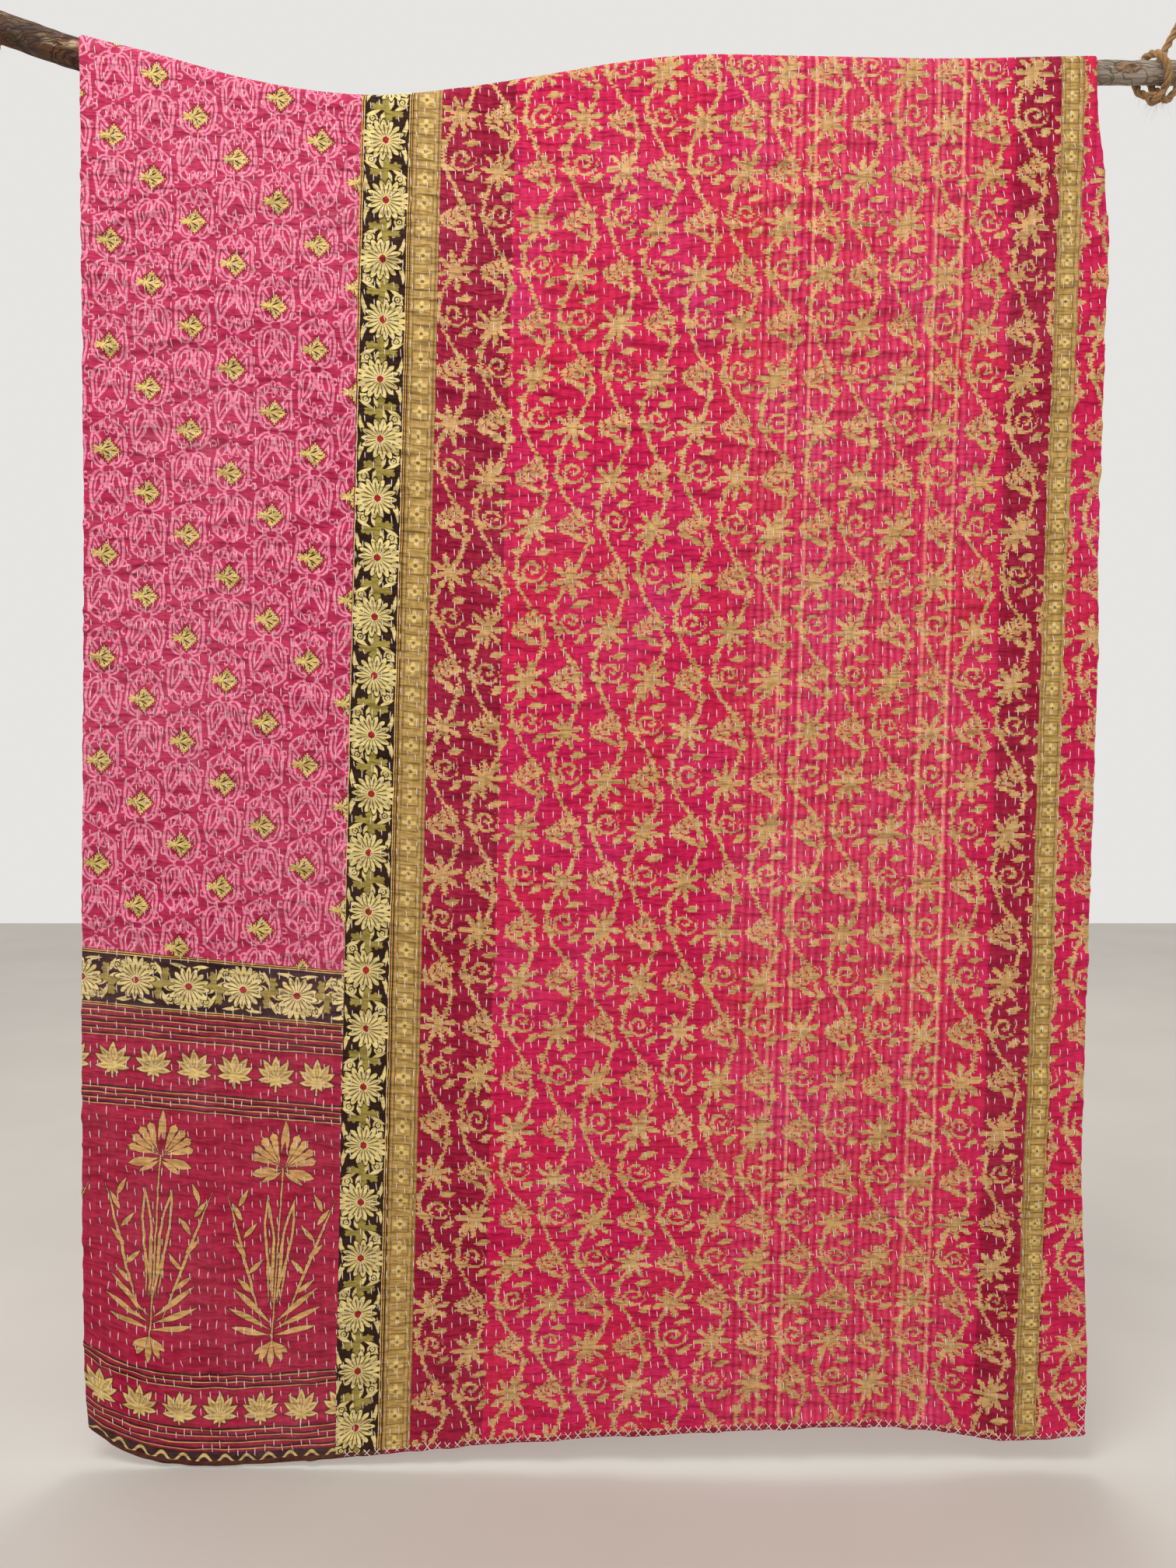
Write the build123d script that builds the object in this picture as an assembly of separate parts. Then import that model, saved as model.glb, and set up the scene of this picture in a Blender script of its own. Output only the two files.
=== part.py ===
"""A hand-stitched patchwork quilt laid over a branch pole, hung on two ropes from two ceiling hooks.

Millimetres. +Z is up, -Y is the quilt's front, X runs along the pole. The origin is midway between
the two hook screws, on the ceiling.
"""
from build123d import *
import math
import os

# Room and hooks
HOOK_SPACING = 2032.0        # five joists at 16 inches
WIRE_R = 3.0                 # hook wire
EYE_R = 19.0                 # centreline radius of a hook's eye
NECK_R = 8.0                 # bend between shank and eye
NECK_Z = -10.2               # where the shank starts to bend
EYE_TIP_DEG = 155.0          # where the eye's wire ends, from the outward side
FLANGE_R = 9.0
FLANGE_T = 2.5
PLAIN_SHANK = 10.0           # smooth part of the screw inside the ceiling
THREAD_LENGTH = 24.0
THREAD_PITCH = 2.4
THREAD_DEPTH = 0.7
SCREW_POINT = 6.0
PULL_DEG = 26.0              # how far the ropes lean in from the vertical at the hooks

# Branch pole
POLE_R_LEFT = 24.6           # radius at the left end
POLE_R_RIGHT = 17.2          # radius at the right end
POLE_LINE = [(-985, -257), (-875, -293), (-762, -332), (-640, -363), (-510, -398), (-400, -417),
             (-300, -422), (-180, -410), (-65, -392), (60, -371), (165, -361), (300, -362),
             (530, -365), (765, -360), (905, -362)]
POLE_STEP = 45.0             # spacing of the pole's and the quilt's stations

# Quilt
QUILT_WIDTH = 1502.0
QUILT_LENGTH = 2286.0        # hem to hem over the pole
BACK_AND_TURN = 280.0        # cloth behind the front's crease where the front hem hangs lowest
BACKING_T = 0.8
INNER_T = 1.4
TOP_T = 0.8
POLE_GAP = 0.8               # running gap between the pole and the backing
CREASE_BELOW = 9.0           # from the pole's lowest centre down to where the drops start to fold
HEM_HEIGHT = 9.0
HEM_PROUD = 0.5              # how far the turned hem stands off each face
SADDLE_FACETS = 12
HEM_RISE = [(0.0, 51), (0.017, 32), (0.047, 13), (0.10, 0), (0.20, 4), (0.33, 20), (0.46, 34),
            (0.666, 51), (0.773, 55), (0.833, 50), (0.90, 34), (0.94, 32), (1.0, 42)]
PAISLEY_WIDTH = 496.0        # paisley cloth, at the crease
SEAM_LEAN = 54.0             # how far its seam runs left by the front hem
EDGE_WIDTH = 20.0            # edge strip beyond the vine cloth, at the crease
EDGE_LEAN = 61.0

# Ropes
ROPE_R = 6.0
KNOT_LONG = 20.0             # half length along the pole
KNOT_R = 13.0
ARC_SHARE = 0.45
RIGHT_ROUTE = [(842, 2, -394), (833, 9, -389), (828, 21, -377), (826, 26, -359), (828, 19, -341),
               (832, 3, -334), (839, -15, -339), (847, -25, -353), (854, -24, -372), (857, -10, -385),
               (856, 9, -385), (851, 23, -373), (848, 27, -355),
               (1009.4, 9.4, -49.6), (1011.8, 3.9, -44.7), (1011.8, -3.9, -44.7), (1009.4, -9.4, -49.6),
               (877, -16, -338), (876, -26, -355), (875, -23, -374), (874, -7, -386),
               (868, 3, -397), (858, 0, -402)]
RIGHT_KNOT = (849, 0, -397)
LEFT_ROUTE = [(-909, 2, -323), (-899, 12, -317), (-893, 28, -306), (-891, 34, -286), (-893, 25, -263),
              (-897, 5, -252), (-904, -18, -254), (-911, -32, -268), (-916, -33, -289), (-921, -20, -305),
              (-921, 2, -311), (-918, 23, -303), (-915, 34, -285),
              (-1009.4, 9.4, -49.6), (-1011.8, 3.9, -44.7), (-1011.8, -3.9, -44.7), (-1009.4, -9.4, -49.6),
              (-945, -22, -244), (-945, -34, -262), (-944, -31, -284), (-943, -16, -302),
              (-941, 2, -313), (-932, 5, -325), (-921, -1, -331)]
LEFT_KNOT = (-915, 0, -327)

PATCH_T = BACKING_T + INNER_T + TOP_T
HALF_WIDTH = QUILT_WIDTH / 2
SEAM_TOP = PAISLEY_WIDTH - HALF_WIDTH
EDGE_TOP = HALF_WIDTH - EDGE_WIDTH
CREASE_Z = min(z for _, z in POLE_LINE) - CREASE_BELOW
FRONT_HEM_Z = CREASE_Z - (QUILT_LENGTH - BACK_AND_TURN)
CURVE_LEFT, CURVE_RIGHT = POLE_LINE[0][0], POLE_LINE[-1][0]
INNER_AT = BACKING_T
TOP_AT = BACKING_T + INNER_T


def smooth(points, x):
    """Height at x on a smooth line through the points, a cubic on each span with the slope of its neighbours."""
    last = len(points) - 2
    k = max(i for i in range(last + 1) if i == 0 or points[i][0] <= x)
    (x0, z0), (x1, z1) = points[k], points[k + 1]
    before, after = points[max(k - 1, 0)], points[min(k + 2, last + 1)]
    span = x1 - x0
    slope0 = (z1 - before[1]) / (x1 - before[0]) * span
    slope1 = (after[1] - z0) / (after[0] - x0) * span
    t = (x - x0) / span
    return ((2 * t**3 - 3 * t**2 + 1) * z0 + (t**3 - 2 * t**2 + t) * slope0
            + (3 * t**2 - 2 * t**3) * z1 + (t**3 - t**2) * slope1)


def pole_z(x):
    return smooth(POLE_LINE, x)


def pole_r(x):
    share = (x - CURVE_LEFT) / (CURVE_RIGHT - CURVE_LEFT)
    return POLE_R_LEFT + (POLE_R_RIGHT - POLE_R_LEFT) * share


def front_hem_z(x):
    return FRONT_HEM_Z + smooth(HEM_RISE, (x + HALF_WIDTH) / QUILT_WIDTH)


def back_hem_z(x):
    """The cloth's length less what the front and the turn over the pole use."""
    over_pole = math.pi * (pole_r(x) + POLE_GAP + PATCH_T / 2)
    front = pole_z(x) - front_hem_z(x)
    return pole_z(x) - (QUILT_LENGTH - front - over_pole)


def breaks():
    """Places along the pole where an outline turns or a cloth ends."""
    turns = [share * QUILT_WIDTH - HALF_WIDTH for share, _ in HEM_RISE]
    return [*turns, SEAM_TOP, EDGE_TOP, CURVE_LEFT, CURVE_RIGHT]


def stations(left, right):
    """Places along the pole from left to right, the same for every piece that shares a stretch of it."""
    first, last = math.ceil(CURVE_LEFT / POLE_STEP), math.floor(CURVE_RIGHT / POLE_STEP)
    apart = POLE_STEP / 6
    grid = [k * POLE_STEP for k in range(first, last + 1)]
    between = [x for x in grid if min(abs(x - b) for b in breaks()) > apart]
    return sorted(x for x in {*between, *breaks()} if left <= x <= right)


def ruled(outlines):
    """A solid with flat faces between the outlines, one at each station."""
    wires = [Wire.make_polygon([Vector(*p) for p in outline]) for outline in outlines]
    return Solid.make_loft(wires, ruled=True)


def shell_outline(x, inner, outer):
    """The quilt's cross-section over the pole: two straight legs and a half turn in facets."""
    def side(offset):
        r = pole_r(x) + POLE_GAP + offset
        turn = [math.pi * k / SADDLE_FACETS for k in range(SADDLE_FACETS + 1)]
        over = [(x, -r * math.cos(a), pole_z(x) + r * math.sin(a)) for a in turn]
        return [(x, -r, CREASE_Z), *over, (x, r, CREASE_Z)]
    return side(inner) + side(outer)[::-1]


def saddle(left, right, inner, outer):
    return ruled([shell_outline(x, inner, outer) for x in stations(left, right)])


def drop(face, hem_z, left, right, inner, outer, foot):
    """One hanging layer. face is -1 in front and 1 behind; foot is how far above the hem it stops."""
    def outline(x):
        near = face * (pole_r(x) + POLE_GAP + inner)
        far = face * (pole_r(x) + POLE_GAP + outer)
        bottom = hem_z(x) + foot
        return [(x, near, CREASE_Z), (x, far, CREASE_Z), (x, far, bottom), (x, near, bottom)]
    return ruled([outline(x) for x in stations(left, right)])


def hem(face, hem_z):
    """The turned edge, a little thicker than the layers it closes."""
    def outline(x):
        near = face * (pole_r(x) + POLE_GAP - HEM_PROUD)
        far = face * (pole_r(x) + POLE_GAP + PATCH_T + HEM_PROUD)
        low = hem_z(x)
        return [(x, near, low), (x, far, low), (x, far, low + HEM_HEIGHT), (x, near, low + HEM_HEIGHT)]
    return ruled([outline(x) for x in stations(-HALF_WIDTH, HALF_WIDTH)])


def seam_line(top, lean, z):
    """Where a leaning seam crosses height z on the front."""
    return top - lean * (CREASE_Z - z) / (CREASE_Z - FRONT_HEM_Z)


def left_of(top, lean):
    """Everything to the left of a leaning seam, as a deep wedge."""
    low, high, side, deep = 2 * FRONT_HEM_Z, 0.0, 2 * QUILT_WIDTH, 4 * POLE_R_LEFT
    corners = [(-side, -deep, low), (seam_line(top, lean, low), -deep, low),
               (seam_line(top, lean, high), -deep, high), (-side, -deep, high)]
    face = Face(Wire.make_polygon([Vector(*c) for c in corners]))
    return Solid.extrude(face, Vector(0, 2 * deep, 0))


def front_patches():
    top = drop(-1, front_hem_z, -HALF_WIDTH, HALF_WIDTH, TOP_AT, PATCH_T, HEM_HEIGHT)
    first, second = left_of(SEAM_TOP, SEAM_LEAN), left_of(EDGE_TOP, EDGE_LEAN)
    return {"paisley_cloth_front": top & first, "vine_cloth_front": (top - first) & second,
            "edge_strip_front": top - second}


def back_patch(left, right):
    return drop(1, back_hem_z, left, right, TOP_AT, PATCH_T, HEM_HEIGHT)


def pole():
    rings = [Wire.make_circle(pole_r(x), Plane(origin=(x, 0, pole_z(x)), z_dir=(1, 0, 0)))
             for x in stations(CURVE_LEFT, CURVE_RIGHT)]
    return Solid.make_loft(rings, ruled=True)


def arc_radii(points):
    """Each corner's arc: 0.45 of its shorter run, divided by the tangent of half its turn."""
    radii = []
    for a, b, c in zip(points, points[1:], points[2:]):
        turn = math.radians((b - a).get_angle(c - b))
        radii.append(ARC_SHARE * min((b - a).length, (c - b).length) / math.tan(turn / 2))
    return radii


def rope(name, route):
    """A rope from its knot, round the pole, up over the hook's wire and back round the pole."""
    points = [Vector(*p) for p in route]
    radii = arc_radii(points)
    line = FilletPolyline(*points, radius=radii)
    tube = sweep(Plane(origin=line @ 0, z_dir=line % 0) * Circle(ROPE_R), path=line)
    expected = math.pi * ROPE_R**2 * line.length
    print(name, "radii", [round(r, 1) for r in radii])
    print(name, "length", round(line.length, 1), "volume share", round(tube.volume / expected, 4))
    return tube


def knot(centre):
    """The bulge where the rope's two ends are tied under the pole, an oval turned about the pole's line."""
    over = EllipticalCenterArc((0, 0), KNOT_LONG, KNOT_R, start_angle=0, arc_size=180)
    half = make_face(Curve() + [over, Line((-KNOT_LONG, 0), (KNOT_LONG, 0))])
    return Pos(*centre) * revolve(half, Axis.X, 360)


def screw():
    """The part of a hook that goes into the ceiling, with its thread as ridges, turned about its axis."""
    outline = [(0, 0), (WIRE_R, 0), (WIRE_R, PLAIN_SHANK)]
    ridges = round(THREAD_LENGTH / THREAD_PITCH)
    for k in range(ridges):
        foot = PLAIN_SHANK + k * THREAD_PITCH
        outline += [(WIRE_R - THREAD_DEPTH, foot + THREAD_PITCH * 0.3),
                    (WIRE_R - THREAD_DEPTH, foot + THREAD_PITCH * 0.7), (WIRE_R, foot + THREAD_PITCH)]
    outline += [(0, PLAIN_SHANK + ridges * THREAD_PITCH + SCREW_POINT)]
    profile = make_face(Plane.XZ * Polyline(*outline, close=True))
    return revolve(profile, Axis.Z, 360)


def hook(side):
    """A screw hook. side is 1 on the right and -1 on the left; its open side faces the pole."""
    eye_z = eye_height()
    reach = EYE_R + NECK_R
    lean = math.degrees(math.acos(NECK_R / reach))
    shank = Line((0, 0), (0, NECK_Z))
    neck = CenterArc((NECK_R, NECK_Z), NECK_R, 180, lean)
    eye = CenterArc((0, eye_z), EYE_R, lean, -(360 + lean - EYE_TIP_DEG))
    path = Wire([(Plane.XZ * part).edge() for part in (shank, neck, eye)])
    wire = sweep(Plane(origin=path @ 0, z_dir=path % 0) * Circle(WIRE_R), path=path)
    tip_at = (EYE_R * math.cos(math.radians(EYE_TIP_DEG)), 0,
              eye_z + EYE_R * math.sin(math.radians(EYE_TIP_DEG)))
    flange = Pos(0, 0, -FLANGE_T / 2) * Cylinder(FLANGE_R, FLANGE_T)
    whole = wire + Pos(*tip_at) * Sphere(WIRE_R) + flange + screw()
    whole = whole if side > 0 else whole.mirror(Plane.YZ)
    return Pos(side * HOOK_SPACING / 2, 0, 0) * whole


def eye_height():
    return NECK_Z - math.sqrt((EYE_R + NECK_R)**2 - NECK_R**2)


def swing_axis_z():
    """Height of the hook wire's centre where the ropes pull on it."""
    return eye_height() - EYE_R * math.cos(math.radians(PULL_DEG))


def nodes():
    left, right = -HALF_WIDTH, HALF_WIDTH
    made = {
        "left_hook": hook(-1),
        "right_hook": hook(1),
        "branch_pole": pole(),
        "left_rope": rope("left_rope", LEFT_ROUTE),
        "right_rope": rope("right_rope", RIGHT_ROUTE),
        "left_knot": knot(LEFT_KNOT),
        "right_knot": knot(RIGHT_KNOT),
        "paisley_cloth_saddle": saddle(left, SEAM_TOP, TOP_AT, PATCH_T),
        "vine_cloth_saddle": saddle(SEAM_TOP, EDGE_TOP, TOP_AT, PATCH_T),
        "edge_strip_saddle": saddle(EDGE_TOP, right, TOP_AT, PATCH_T),
        "inner_layer_saddle": saddle(left, right, INNER_AT, TOP_AT),
        "backing_saddle": saddle(left, right, 0, INNER_AT),
        "inner_layer_front": drop(-1, front_hem_z, left, right, INNER_AT, TOP_AT, HEM_HEIGHT),
        "backing_front": drop(-1, front_hem_z, left, right, 0, INNER_AT, HEM_HEIGHT),
        "hem_front": hem(-1, front_hem_z),
        "paisley_cloth_back": back_patch(left, SEAM_TOP),
        "vine_cloth_back": back_patch(SEAM_TOP, EDGE_TOP),
        "edge_strip_back": back_patch(EDGE_TOP, right),
        "inner_layer_back": drop(1, back_hem_z, left, right, INNER_AT, TOP_AT, HEM_HEIGHT),
        "backing_back": drop(1, back_hem_z, left, right, 0, INNER_AT, HEM_HEIGHT),
        "hem_back": hem(1, back_hem_z),
    }
    made.update(front_patches())
    return made


os.makedirs("parts", exist_ok=True)
print("swing axis z", round(swing_axis_z(), 2), "eye z", round(eye_height(), 2))
for name, shape in nodes().items():
    export_step(shape, f"parts/{name}.step")
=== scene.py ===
"""A kantha quilt laid over a branch pole that hangs on two rope slings from ceiling hooks.

Metres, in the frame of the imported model: X runs along the pole, the quilt's front faces -Y, Z is up
and the origin is midway between the two hook screws, on the ceiling. The cloth lies on a surface of
two parameters, across and down, and every layer, stitch and hem is read off that one surface.
"""
from __future__ import annotations

import logging
import math
from dataclasses import dataclass, field
from enum import Enum
from typing import Callable, Sequence

import bpy
import numpy as np
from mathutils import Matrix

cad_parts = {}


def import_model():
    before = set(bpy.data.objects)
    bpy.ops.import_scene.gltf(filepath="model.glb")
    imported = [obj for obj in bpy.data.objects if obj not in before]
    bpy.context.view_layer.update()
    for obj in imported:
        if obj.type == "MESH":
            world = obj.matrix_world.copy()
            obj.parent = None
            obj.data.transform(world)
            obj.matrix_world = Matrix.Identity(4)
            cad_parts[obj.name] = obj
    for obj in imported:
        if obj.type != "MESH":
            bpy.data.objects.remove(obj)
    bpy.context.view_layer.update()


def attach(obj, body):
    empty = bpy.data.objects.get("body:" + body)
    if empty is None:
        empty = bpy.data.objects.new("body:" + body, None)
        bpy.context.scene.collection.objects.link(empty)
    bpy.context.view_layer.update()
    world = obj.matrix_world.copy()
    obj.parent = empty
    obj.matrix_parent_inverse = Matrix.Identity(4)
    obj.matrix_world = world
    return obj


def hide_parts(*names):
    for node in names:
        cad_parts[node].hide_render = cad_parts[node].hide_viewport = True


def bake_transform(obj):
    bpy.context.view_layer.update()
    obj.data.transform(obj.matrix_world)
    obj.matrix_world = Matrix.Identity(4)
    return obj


LOG = logging.getLogger("quilt")
Points = Sequence[tuple[float, ...]]
SEED = 7
FLOOR_Z = -2.440
CLOTH_UV = "cloth"

POLE_LINE = [(-985, -257), (-875, -293), (-762, -332), (-640, -363), (-510, -398), (-400, -417),
             (-300, -422), (-180, -410), (-65, -392), (60, -371), (165, -361), (300, -362),
             (530, -365), (765, -360), (905, -362)]
HEM_RISE = [(0.0, 51), (0.017, 32), (0.047, 13), (0.10, 0), (0.20, 4), (0.33, 20), (0.46, 34),
            (0.666, 51), (0.773, 55), (0.833, 50), (0.90, 34), (0.94, 32), (1.0, 42)]
LEFT_EDGE = [(-2437, -747), (-2385, -749), (-2227, -753), (-1500, -749), (-837, -745), (-440, -745),
             (-316, -750), (-250, -751)]
RIGHT_EDGE = [(-2437, 743), (-2296, 748), (-2227, 746), (-2104, 741), (-1989, 737), (-1258, 757),
              (-1104, 756), (-951, 759), (-756, 764), (-646, 766), (-535, 759), (-446, 750), (-353, 751)]
RIGHT_ROUTE = [(842, 2, -394), (833, 9, -389), (828, 21, -377), (826, 26, -359), (828, 19, -341),
               (832, 3, -334), (839, -15, -339), (847, -25, -353), (854, -24, -372), (857, -10, -385),
               (856, 9, -385), (851, 23, -373), (848, 27, -355), (883, 23, -289),
               (975, 13.1, -114), (1009.4, 9.4, -49.6), (1011.8, 3.9, -44.7), (1011.8, -3.9, -44.7),
               (1009.4, -9.4, -49.6), (977, -10.9, -119.7), (907, -14.5, -274), (877, -16, -338),
               (876, -26, -355), (875, -23, -374), (874, -7, -386), (868, 3, -397), (858, 0, -402)]
LEFT_ROUTE = [(-909, 2, -323), (-899, 12, -317), (-893, 28, -306), (-891, 34, -286), (-893, 25, -263),
              (-897, 5, -252), (-904, -18, -254), (-911, -32, -268), (-916, -33, -289), (-921, -20, -305),
              (-921, 2, -311), (-918, 23, -303), (-915, 34, -285), (-939, 26.6, -225),
              (-982, 16.5, -118), (-1009.4, 9.4, -49.6), (-1011.8, 3.9, -44.7), (-1011.8, -3.9, -44.7),
              (-1009.4, -9.4, -49.6), (-986, -12.7, -118), (-960, -18, -192), (-945, -22, -244),
              (-945, -34, -262), (-944, -31, -284), (-943, -16, -302), (-941, 2, -313),
              (-932, 5, -325), (-921, -1, -331)]
MM = 0.001


def smooth(points: Points, x: np.ndarray) -> np.ndarray:
    """Heights on a smooth line through the points: on each span a cubic with its neighbours' slopes.

    Args:
        points: (place, height) pairs in rising order of place.
        x: places to read the line at.

    Returns:
        The line's height at each place.
    """
    px, pz = (np.array(column, float) for column in zip(*points))
    k = np.clip(np.searchsorted(px, x, side="right") - 1, 0, len(px) - 2)
    before, after = np.maximum(k - 1, 0), np.minimum(k + 2, len(px) - 1)
    span = px[k + 1] - px[k]
    slope0 = (pz[k + 1] - pz[before]) / (px[k + 1] - px[before]) * span
    slope1 = (pz[after] - pz[k]) / (px[after] - px[k]) * span
    t = np.clip((x - px[k]) / span, 0, 1)
    return ((2 * t**3 - 3 * t**2 + 1) * pz[k] + (t**3 - 2 * t**2 + t) * slope0
            + (3 * t**2 - 2 * t**3) * pz[k + 1] + (t**3 - t**2) * slope1)


def step(x: np.ndarray, low: float, high: float) -> np.ndarray:
    """A soft step: 0 below low, 1 above high and 3t^2 - 2t^3 between (low may be above high)."""
    t = np.clip((x - low) / (high - low), 0, 1)
    return t * t * (3 - 2 * t)


def ripple(a: np.ndarray, b: np.ndarray, across: float, down: float, seed: int,
           waves: int = 14) -> np.ndarray:
    """Smooth noise near -1 to 1: a sum of sine waves of random direction and phase.

    Args:
        a, b: the two coordinates.
        across, down: the typical wavelength along each of them.
        seed: which noise.
        waves: how many sine waves are added.

    Returns:
        The noise at each point.
    """
    rng = np.random.default_rng(SEED * 1000 + seed)
    total = np.zeros_like(a, dtype=float)
    for _ in range(waves):
        turn, phase = rng.uniform(0, 2 * math.pi, 2)
        reach = rng.uniform(0.6, 1.5)
        place = a * math.cos(turn) / across + b * math.sin(turn) / down
        total += np.sin(2 * math.pi * reach * place + phase)
    return total / math.sqrt(waves)


def grid_faces(rows: int, columns: int, ring: bool = False) -> np.ndarray:
    """Four-cornered faces between neighbours of a grid of points, row after row.

    Args:
        rows, columns: the grid's size.
        ring: whether the last column joins the first.

    Returns:
        One row of four point numbers for each face.
    """
    i = np.arange(rows - 1)[:, None] * columns
    j = np.arange(columns if ring else columns - 1)[None, :]
    k = (j + 1) % columns
    return np.stack([i + j, i + k, i + columns + k, i + columns + j], axis=-1).reshape(-1, 4)


def make_mesh(name: str, points: np.ndarray, faces: np.ndarray, materials: Sequence[bpy.types.Material],
              uv: np.ndarray | None = None, slots: np.ndarray | None = None, flat: bool = False,
              extra: Sequence[Sequence[int]] = ()) -> bpy.types.Object:
    """An object at the origin from arrays of points and faces.

    Args:
        name: the piece's name.
        points: (n, 3) places in metres.
        faces: (m, 3 or 4) point numbers.
        materials: the piece's finishes.
        uv: (n, 2) cloth coordinates in metres, if the finish follows the cloth.
        slots: finish number of each face.
        flat: whether its faces are shaded flat.
        extra: further faces of any number of corners.

    Returns:
        The new object, linked to the scene.
    """
    mesh = bpy.data.meshes.new(name)
    mesh.from_pydata(points.reshape(-1, 3), [], [*faces.tolist(), *extra])
    for material in materials:
        mesh.materials.append(material)
    if uv is not None:
        corner = np.zeros(len(mesh.loops), dtype=np.int32)
        mesh.loops.foreach_get("vertex_index", corner)
        layer = mesh.uv_layers.new(name=CLOTH_UV)
        layer.data.foreach_set("uv", uv.reshape(-1, 2)[corner].astype(np.float32).ravel())
    if slots is not None:
        mesh.polygons.foreach_set("material_index", slots.astype(np.int32))
    mesh.polygons.foreach_set("use_smooth", np.full(len(mesh.polygons), not flat))
    mesh.update()
    piece = bpy.data.objects.new(name, mesh)
    bpy.context.scene.collection.objects.link(piece)
    return piece


# ---------------------------------------------------------------- finishes
Leaf = tuple[tuple[float, float], float, float, float]


class Field:
    """A number that varies over a surface: the output of one shader node, with arithmetic."""

    def __init__(self, tree: bpy.types.NodeTree, socket: bpy.types.NodeSocket) -> None:
        """Keep the tree and the socket that the number comes from."""
        self.tree, self.socket = tree, socket

    def math(self, operation: str, *others: "Field | float", clamp: bool = False) -> "Field":
        """This number and the others put through one Math node.

        Args:
            operation: the node's operation.
            others: its second and third inputs.
            clamp: whether the result is held between 0 and 1.

        Returns:
            The node's output.
        """
        node = self.tree.nodes.new("ShaderNodeMath")
        node.operation, node.use_clamp = operation, clamp
        for slot, value in enumerate((self, *others)):
            if isinstance(value, Field):
                self.tree.links.new(value.socket, node.inputs[slot])
            else:
                node.inputs[slot].default_value = value
        return Field(self.tree, node.outputs[0])

    def __add__(self, other: "Field | float") -> "Field":
        """The sum."""
        return self.math("ADD", other)

    def __sub__(self, other: "Field | float") -> "Field":
        """The difference."""
        return self.math("SUBTRACT", other)

    def __mul__(self, other: "Field | float") -> "Field":
        """The product."""
        return self.math("MULTIPLY", other)

    def __truediv__(self, other: "Field | float") -> "Field":
        """The quotient."""
        return self.math("DIVIDE", other)

    def __abs__(self) -> "Field":
        """The size without the sign."""
        return self.math("ABSOLUTE")

    __radd__, __rmul__ = __add__, __mul__

    def scaled(self, by: "Field | float", plus: "Field | float", clamp: bool = False) -> "Field":
        """This number times one and plus another."""
        return self.math("MULTIPLY_ADD", by, plus, clamp=clamp)

    def least(self, other: "Field | float") -> "Field":
        """The smaller of the two."""
        return self.math("MINIMUM", other)

    def most(self, other: "Field | float") -> "Field":
        """The larger of the two."""
        return self.math("MAXIMUM", other)

    def wave(self, length: float, shift: float = 0.0) -> "Field":
        """A sine of the given wavelength."""
        return self.scaled(2 * math.pi / length, shift).math("SINE")

    def inside(self, soft: float) -> "Field":
        """1 where this distance is below zero, 0 above, over a soft edge."""
        return self.scaled(-1 / soft, 0.5, clamp=True)

    def between(self, low: float, high: float, soft: float = 0.0008) -> "Field":
        """1 between two limits, with soft edges."""
        middle, half = (low + high) / 2, (high - low) / 2
        return (abs(self - middle) - half).inside(soft)

    def tile(self, size: float) -> "tuple[Field, Field]":
        """The number of the tile this place is in, and the place in it measured from its middle."""
        share = self * (1 / size)
        number = share.math("FLOOR")
        return number, (share - number).scaled(size, -size / 2)


class Dye:
    """A colour that varies over a surface."""

    def __init__(self, tree: bpy.types.NodeTree, source: "bpy.types.NodeSocket | tuple[float, ...]") -> None:
        """Keep the tree and where the colour comes from, a socket or a plain colour."""
        self.tree, self.source = tree, source

    def put(self, socket: bpy.types.NodeSocket) -> None:
        """Feed the colour into a socket."""
        if isinstance(self.source, tuple):
            socket.default_value = self.source
        else:
            self.tree.links.new(self.source, socket)

    def under(self, other: "Dye", mask: "Field | float") -> "Dye":
        """This colour with another laid over it where the mask is 1."""
        node = self.tree.nodes.new("ShaderNodeMix")
        node.data_type = "RGBA"
        if isinstance(mask, Field):
            self.tree.links.new(mask.socket, node.inputs[0])
        else:
            node.inputs[0].default_value = mask
        self.put(node.inputs[6])
        other.put(node.inputs[7])
        return Dye(self.tree, node.outputs[2])


def linear(red: int, green: int, blue: int) -> tuple[float, float, float, float]:
    """A colour given in the usual 0 to 255 values, as linear light."""
    def one(c: float) -> float:
        """One channel, undoing the display curve."""
        return c / 12.92 if c <= 0.04045 else ((c + 0.055) / 1.055) ** 2.4
    return (*(one(c / 255) for c in (red, green, blue)), 1.0)


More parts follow.
